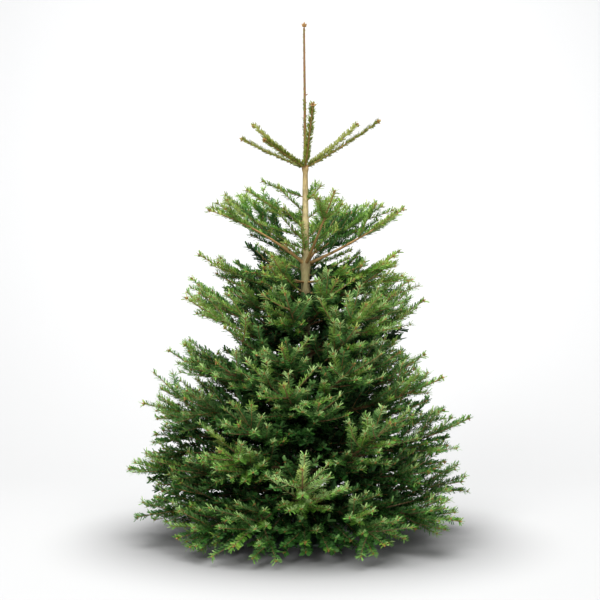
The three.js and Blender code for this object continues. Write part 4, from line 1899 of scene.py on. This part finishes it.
@dataclass
class Foliage:
    """The needles of every shoot, in pieces by tint."""

    width: float = 0.0047
    most_per_piece: int = 47000
    fewest: int = 3
    steep: float = 1.5
    rosette: int = 6
    rosette_lift: tuple[float, float] = (-60.0, 85.0)
    rosette_lean: tuple[float, float] = (20.0, 66.0)
    breadths: tuple[float, float] = (0.8, 1.15)
    upright_less: float = 0.2
    beneath_less: float = 0.35
    face_ahead: tuple[float, float] = (0.42, 0.3)
    face_aside: float = 0.9
    face_chance: float = 0.36
    radial_face: tuple[float, float] = (0.4, 0.1)
    seat: float = 0.7
    young_length: float = 17.0
    old_from: float = 120.0
    blend: float = 8.0
    older: float = 0.16
    fresher: float = 0.2
    # Low sprays take the pale tint at their tips, partly fresh growth and partly painted highlight,
    # and along their middle where they stand in full light: painted light.
    pale_below: float = 930.0
    pale_tip_above: float = 0.5
    pale_above: float = 0.86
    rng: np.random.Generator = field(default_factory=lambda: np.random.default_rng(SEED + 1))

    @staticmethod
    def shape() -> bpy.types.Object:
        """One closed flat needle, a unit long: two faces above and two pale ones beneath.

        Returns:
            The needle as an object.
        """
        corners = [(0, -0.4, 0.05), (0, 0.44, -0.05), (1, 0.34, 0.05), (0.97, -0.4, -0.05)]
        faces = [(0, 3, 2), (0, 2, 1), (3, 1, 2), (0, 1, 3)]
        mesh = bpy.data.meshes.new("needle_shape")
        mesh.from_pydata(corners, [], faces)
        mark(mesh, "beneath", "BOOLEAN", "FACE", np.array([False, False, True, True]))
        return new_object("needle_shape", mesh)

    def needles(self, shoot: Shoot) -> tuple[np.ndarray, SprigPoints]:
        """The needles of one shoot.

        Args:
            shoot: The shoot.

        Returns:
            The needles' distances along it, and their points.
        """
        rng, curve = self.rng, shoot.curve
        ends = self.rosette if shoot.budded and not shoot.radial else 0
        even = max(self.fewest, int((curve.length - shoot.start) * shoot.density))
        count = even + ends
        spots = np.concatenate([(np.arange(even) + rng.uniform(0, 1, even)) / even, np.ones(ends)])
        spots = shoot.start + (curve.length - shoot.start) * spots
        heading = curve.heading(spots)
        side, rise = across(heading)
        hand = np.where(rng.uniform(0, 1, count) < 0.5, -1.0, 1.0)
        comb = (Combing.ROUND if shoot.radial else Combing.FLAT).value
        lift = np.radians(comb.lowest + comb.span * rng.uniform(0, 1, count) ** comb.power)
        steepness = lift / self.steep
        lean = np.radians(comb.lean - comb.less * steepness + rng.uniform(*comb.chance, count))
        size = rng.uniform(*comb.sizes, count)
        if shoot.radial:
            size = shoot.needle * size * (1 - self.beneath_less * np.clip(-lift, 0, 1))
        else:
            size = shoot.needle * (1 - self.upright_less * np.clip(steepness, 0, 1)) * size
        if ends:
            lift[-ends:] = np.radians(rng.uniform(*self.rosette_lift, ends))
            lean[-ends:] = np.radians(rng.uniform(*self.rosette_lean, ends))
        sideways = (np.cos(lift) * hand)[:, None] * side + np.sin(lift)[:, None] * rise
        along = np.cos(lean)[:, None] * heading + np.sin(lean)[:, None] * sideways
        upright = np.sin(lift)[:, None]
        face = rise + (self.face_ahead[0] + self.face_ahead[1] * upright) * heading
        face = face + (self.face_aside * hand[:, None] * upright**2) * side
        face = face + rng.normal(0, self.face_chance, (count, 3))
        if shoot.radial:
            aside, loose = self.radial_face
            face = sideways * aside + heading + rng.normal(0, loose, (count, 3))
        place = curve.at(spots) + sideways * shoot.girth(spots)[:, None] * self.seat
        broad = shoot.broad * rng.uniform(*self.breadths, count)
        return spots, SprigPoints(place, along, face, size, broad)

    def sprays(self, shoot: Shoot) -> list[tuple[float, SprigPoints]]:
        """The needles of one shoot, as the sprays on its old part, its last growth and its tip.

        Args:
            shoot: The shoot.

        Returns:
            The freshness and the points of each spray.
        """
        curve = shoot.curve
        spots, points = self.needles(shoot)
        if shoot.shade in SPECIAL_TINTS:
            return [(shoot.shade, points)]
        left = curve.length - spots + self.rng.uniform(-self.blend, self.blend, len(spots))
        young, old = left < self.young_length, left > self.old_from
        low = isinstance(curve, TwigSweep) and float(curve.origin[2]) < self.pale_below
        # Pale tips low down: partly fresh growth, partly painted highlight; pale middles in full
        # light: painted light.
        tip = shoot.shade + self.fresher
        tip = PALE_SHADE if low and shoot.shade > self.pale_tip_above else tip
        full = PALE_SHADE if low and shoot.shade > self.pale_above else shoot.shade
        parts = ((shoot.shade - self.older, old), (full, ~(young | old)), (tip, young))
        return [(shade, points.where(chosen)) for shade, chosen in parts if chosen.any()]

    def build(self, shoots: list[Shoot], sprigs: SprigTree) -> None:
        """Builds the needles, each spray in its own tint.

        Args:
            shoots: All the shoots.
            sprigs: The tree that sets shapes on points.
        """
        tints = list(NeedleTint)
        dealt: dict[NeedleTint, list[tuple[Shoot, SprigPoints]]] = {tint: [] for tint in tints}
        for shoot in shoots:
            for shade, points in self.sprays(shoot):
                place = int(np.clip(shade, 0, 0.999) * (len(tints) - len(SPECIAL_TINTS)))
                dealt[SPECIAL_TINTS.get(shade, tints[place])].append((shoot, points))
        shape = self.shape()
        for tint, sprays in dealt.items():
            upper, under = tint.value.both()
            total = sum(len(points.place) for _, points in sprays)
            parts = max(1, math.ceil(total / self.most_per_piece))
            for part in range(parts):
                chosen = sprays[part::parts]
                if not chosen:
                    continue
                name = f"{tint.value.name}_sprays_{part + 1}"
                piece = SprigPoints.joined([points for _, points in chosen]).object(name)
                sprigs.set_on(piece, shape, self.width, upper, under)
                finished(piece, sorted({shoot.node for shoot, _ in chosen} - {""}))
        bpy.data.objects.remove(shape)


@dataclass(frozen=True)
class BudSet:
    """The buds at one tip: how many, the middle one's length, and the others' splay in degrees.

    `broad` is their breadth for their length.
    """

    count: int
    size: float
    splay: float
    broad: float


@dataclass
class Buds:
    """The resinous buds: a cluster at the end of every outer shoot, a larger one on the leader."""

    width: float = 0.0034
    side_share: float = 0.78
    top_shoot: BudSet = BudSet(7, 16.0, 74, 3.6)
    stem: BudSet = BudSet(4, 14.0, 64, 2.6)
    twig: BudSet = BudSet(3, 10.5, 60, 2.1)
    leader: BudSet = BudSet(9, 25.0, 34, 4.2)
    leader_rise: float = 5.0
    side: BudSet = BudSet(1, 13.0, 0, 2.0)
    side_height: float = 1708.0
    side_offset: tuple[float, float, float] = (3.0, -1.5, 0.0)
    side_along: tuple[float, float, float] = (0.8, -0.2, 0.55)
    finish: PlainFinish = PlainFinish("bud_scales", (122, 88, 38), 0.7)
    rng: np.random.Generator = field(default_factory=lambda: np.random.default_rng(SEED + 2))

    @staticmethod
    def shape() -> bpy.types.Object:
        """One closed bud of six faces, a unit long.

        Returns:
            The bud as an object.
        """
        ring = [(0.42, math.cos(a) / 2, math.sin(a) / 2) for a in np.arange(3) * 2 * math.pi / 3]
        corners = [(0, 0, 0), *ring, (1, 0, 0)]
        faces = [(0, 1 + (k + 1) % 3, 1 + k) for k in range(3)]
        faces += [(4, 1 + k, 1 + (k + 1) % 3) for k in range(3)]
        mesh = bpy.data.meshes.new("bud_shape")
        mesh.from_pydata(corners, [], faces)
        return new_object("bud_shape", mesh)

    def cluster(self, shoot: Shoot, buds: BudSet) -> SprigPoints:
        """The buds at one shoot's tip.

        Args:
            shoot: The shoot.
            buds: Their number and size.

        Returns:
            The buds' points.
        """
        tip = shoot.curve.at(shoot.curve.length - 1.0)
        heading = shoot.curve.heading(shoot.curve.length)
        side, rise = across(heading)
        others = buds.count - 1
        turn = self.rng.uniform(0, 1) + np.arange(buds.count) * 2 * np.pi / max(1, others)
        angle = np.radians(buds.splay) * np.concatenate([[0.0], np.ones(others)])
        outward = np.cos(turn)[:, None] * side + np.sin(turn)[:, None] * rise
        along = np.cos(angle)[:, None] * heading + np.sin(angle)[:, None] * outward
        sizes = buds.size * np.concatenate([[1.0], np.full(others, self.side_share)])
        face = np.cross(along, np.cross(rise + 0.3 * side, along))
        place = np.repeat(tip[None], buds.count, 0)
        return SprigPoints(place, along, face, sizes, sizes / buds.size * buds.broad)

    def build(self, shoots: list[Shoot], leader: Shoot, sprigs: SprigTree) -> None:
        """Builds all the buds as one piece.

        Args:
            shoots: All the shoots.
            leader: The leader's own shoot.
            sprigs: The tree that sets shapes on points.
        """
        parts = []
        for shoot in shoots:
            if shoot.radial:
                parts.append(self.cluster(shoot, self.top_shoot))
            elif shoot.kind is ShootKind.STEM:
                parts.append(self.cluster(shoot, self.stem))
            elif shoot.budded:
                parts.append(self.cluster(shoot, self.twig))
        top = self.cluster(leader, self.leader)
        top.place = top.place + UP * self.leader_rise
        side_bud = self.cluster(leader, self.side)
        side_bud.place = trunk_middle(np.array([self.side_height])) + np.array([self.side_offset])
        side_bud.along = np.array([self.side_along])
        piece = SprigPoints.joined([*parts, top, side_bud]).object("buds")
        shape, finish = self.shape(), self.finish.material()
        sprigs.set_on(piece, shape, self.width, finish, finish)
        bpy.data.objects.remove(shape)
        finished(piece, [])


# The length of the leader's lower part, where its needles stand close.
LEADER_CLOSE = 250.0


class LeaderLine:
    """The leader as a curve, so that needles and buds can grow on it."""

    first = CROWN_HEIGHT + 12

    def __init__(self, length: float) -> None:
        """Keeps the length above the top whorl's collar."""
        self.length = length

    def at(self, distance: np.ndarray) -> np.ndarray:
        """The points at the distances above the top whorl."""
        return trunk_middle(self.first + np.asarray(distance, float))

    def heading(self, distance: np.ndarray) -> np.ndarray:
        """Very nearly upright, with enough lean that sideways stays defined."""
        lean = np.array([0.02, 0.01, 1.0])
        return np.broadcast_to(unit(lean), (*np.shape(distance), 3))


def leader_shoots() -> list[Shoot]:
    """The leader twice over: a close shoot low down and a sparse one for its whole length.

    Returns:
        The lower shoot and the whole one.
    """
    kind, lower = ShootKind.LEADER, LeaderLine(LEADER_CLOSE)
    whole = LeaderLine(LEADER_TOP - LeaderLine.first)
    return [
        Shoot(lower, 4.0, 6.4, 5.4, 0.75, 11.0, YOUNG_SHADE, "", kind, radial=True, budded=False),
        Shoot(whole, 200.0, 6.4, 3.6, 0.25, 7.0, YOUNG_SHADE, "", kind, radial=True),
    ]


@dataclass(frozen=True)
class PaintFinish:
    """Satin paint on metal, with fine orange peel and dull rubbed patches."""

    colour: tuple[int, int, int] = (30, 52, 38)
    worn: tuple[int, int, int] = (44, 66, 50)
    patch: float = 14.0
    peel: float = 420.0
    roughness: tuple[float, float] = (0.3, 0.55)
    bump: float = 0.12
    depth: float = 0.0005

    def material(self) -> bpy.types.Material:
        """Builds the shader tree.

        Returns:
            The material.
        """
        surface = Surface("stand_paint")
        place = surface.place()
        patch, peel = surface.noise(place, self.patch, 4.0), surface.noise(place, self.peel, 2.0)
        return surface.shaded(
            {
                "Base Color": surface.blended(patch, linear(self.colour), linear(self.worn)),
                "Roughness": surface.ranged(patch, end=self.roughness),
                "Normal": surface.bump(peel, self.bump, self.depth),
            }
        )


@dataclass(frozen=True)
class ScrewFinish:
    """Plain steel, turned and a little dull."""

    colour: tuple[int, int, int] = (176, 176, 178)
    grain: float = 260.0
    roughness: tuple[float, float] = (0.28, 0.5)

    def material(self) -> bpy.types.Material:
        """Builds the shader tree.

        Returns:
            The material.
        """
        surface = Surface("screw_steel")
        marks = surface.noise(surface.place(), self.grain, 3.0)
        dull = surface.ranged(marks, end=self.roughness)
        values = {"Base Color": linear(self.colour), "Metallic": 1.0, "Roughness": dull}
        return surface.shaded(values)


@dataclass
class Stand:
    """The plain metal stand, which keeps its CAD shape and gets its finishes."""

    screws: int = 3

    def dress(self) -> None:
        """Gives the stand's nodes their paint and steel."""
        nodes = frame["nodes"]
        self.coat(nodes["stand_base"], PaintFinish().material())
        steel = ScrewFinish().material()
        for number in range(self.screws):
            self.coat(nodes[f"stand_screw_{number + 1}"], steel)
        LOG.info("stand: base and %d screws dressed", self.screws)

    @staticmethod
    def coat(node: bpy.types.Object, material: bpy.types.Material) -> None:
        """Puts one material in all the slots of a node."""
        for place in node.material_slots:
            place.material = material


@dataclass(frozen=True)
class Lamp:
    """One square soft light: where it hangs, what it points at, its side and its power in watts."""

    name: str
    place: tuple[float, float, float]
    target: tuple[float, float, float]
    size: float
    power: float

    def hang(self) -> None:
        """Adds the light to the scene."""
        lamp = bpy.data.lights.new(self.name, "AREA")
        lamp.size, lamp.energy = self.size, self.power
        made = bpy.data.objects.new(self.name, lamp)
        made.location = self.place
        toward = Vector(self.target) - Vector(self.place)
        made.rotation_euler = toward.to_track_quat("-Z", "Y").to_euler()
        bpy.context.scene.collection.objects.link(made)


@dataclass(frozen=True)
class BackdropFinish:
    """Matt and pale. For the camera it pales backwards, and darkens in a painted shadow round the
    tree.

    Places are in metres, and tones linear.
    """

    plain: float = 0.4
    places: tuple[float, float] = (-1.0, 11.0)
    tones: tuple[float, float] = (0.3, 0.775)
    # How far from the tree the painted shadow fades out, in metres, and its tones.
    painted_shadow: tuple[float, float] = (0.42, 1.05)
    painted_shadow_tones: tuple[float, float] = (0.5, 1.0)
    roughness: float = 0.95

    def material(self) -> bpy.types.Material:
        """Builds the shader tree.

        Returns:
            The material.
        """
        surface = Surface("pale_backdrop")
        seen = surface.put("ShaderNodeLightPath").outputs["Is Camera Ray"]
        place = surface.place()
        parts = surface.put("ShaderNodeSeparateXYZ", {0: place}).outputs
        back = surface.maths("ADD", parts[1], parts[2])
        pale = surface.ranged(back, self.places, self.tones)
        level = {0: surface.scaled(place, (1.0, 1.0, 0.0))}
        away = surface.put("ShaderNodeVectorMath", level, operation="LENGTH").outputs["Value"]
        smooth = "SMOOTHSTEP"
        # Painted shadow: for the camera the floor darkens smoothly in a ring round the tree.
        painted_shadow = surface.ranged(away, self.painted_shadow, self.painted_shadow_tones, interpolation_type=smooth)
        tone = surface.ranged(seen, end=(self.plain, surface.maths("MULTIPLY", pale, painted_shadow)))
        return surface.shaded({"Base Color": tone, "Roughness": self.roughness})


@dataclass
class Studio:
    """The pale floor and backdrop, the soft lights and the camera."""

    camera_place: tuple[float, float, float] = (-0.0155, -4.5, 0.9174)
    lens: float = 69.83
    sky: float = 0.4
    finish: BackdropFinish = BackdropFinish()
    lamps: tuple[Lamp, ...] = (
        Lamp("over", (0.1, -1.2, 6.6), (0, 0, 0.9), 5.2, 1120.0),
        Lamp("key", (-1.8, -4.2, 2.9), (0, 0, 0.6), 1.4, 196.0),
        Lamp("fill", (1.9, -3.7, 0.7), (0, -0.3, 0.2), 1.8, 88.0),
    )
    half_width: float = 12.0
    front: float = -9.0
    bend_at: float = 1.4
    bend: float = 6.0
    top: float = 9.0

    def backdrop(self) -> None:
        """Builds a pale floor that curves up into a wall behind the tree."""
        turns = [(math.sin(a), 1 - math.cos(a)) for a in np.linspace(0, math.pi / 2, 25)]
        curve = [(self.bend_at + self.bend * y, self.bend * z) for y, z in turns]
        line = [(self.front, 0.0), *curve, (self.bend_at + self.bend, self.top)]
        corners = [(x, y, z) for x in (-self.half_width, self.half_width) for y, z in line]
        count = len(line)
        faces = [(k, k + count, k + count + 1, k + 1) for k in range(count - 1)]
        mesh = bpy.data.meshes.new("backdrop")
        mesh.from_pydata(corners, [], faces)
        mesh.shade_smooth()
        mesh.materials.append(self.finish.material())
        new_object("backdrop", mesh)

    def build(self) -> None:
        """Builds the whole studio."""
        self.backdrop()
        for lamp in self.lamps:
            lamp.hang()
        world = bpy.data.worlds.new("soft_sky")
        world.use_nodes = True
        backing = world.node_tree.nodes["Background"]
        backing.inputs[0].default_value = (0.96, 0.98, 1.0, 1.0)
        backing.inputs[1].default_value = self.sky
        bpy.context.scene.world = world
        camera = bpy.data.cameras.new("camera")
        camera.lens, camera.sensor_width = self.lens, 36.0
        held = bpy.data.objects.new("camera", camera)
        held.location = self.camera_place
        held.rotation_euler = (math.pi / 2, 0.0, 0.0)
        bpy.context.scene.collection.objects.link(held)
        bpy.context.scene.camera = held
        bpy.context.scene.view_settings.view_transform = "Standard"
        LOG.info("studio: backdrop, lights and camera")


def main() -> None:
    """Builds the tree from its studio and stand to its needles and buds."""
    logging.basicConfig(level=logging.INFO, format="%(name)s %(message)s")
    Studio().build()
    Stand().dress()
    limbs, sprigs, grain = LimbTree(), SprigTree(), BarkGrain()
    growth = Growth()
    growth.grow()
    TrunkTwigs().grow(growth)
    LOG.info("growth: %d shoots", len(growth.shoots))
    leader = leader_shoots()
    Trunk().build(limbs, grain)
    Wood().build(growth.shoots, limbs, grain)
    Foliage().build([*growth.shoots, *leader], sprigs)
    Buds().build(growth.shoots, leader[1], sprigs)


if __name__ == "__main__":
    main()
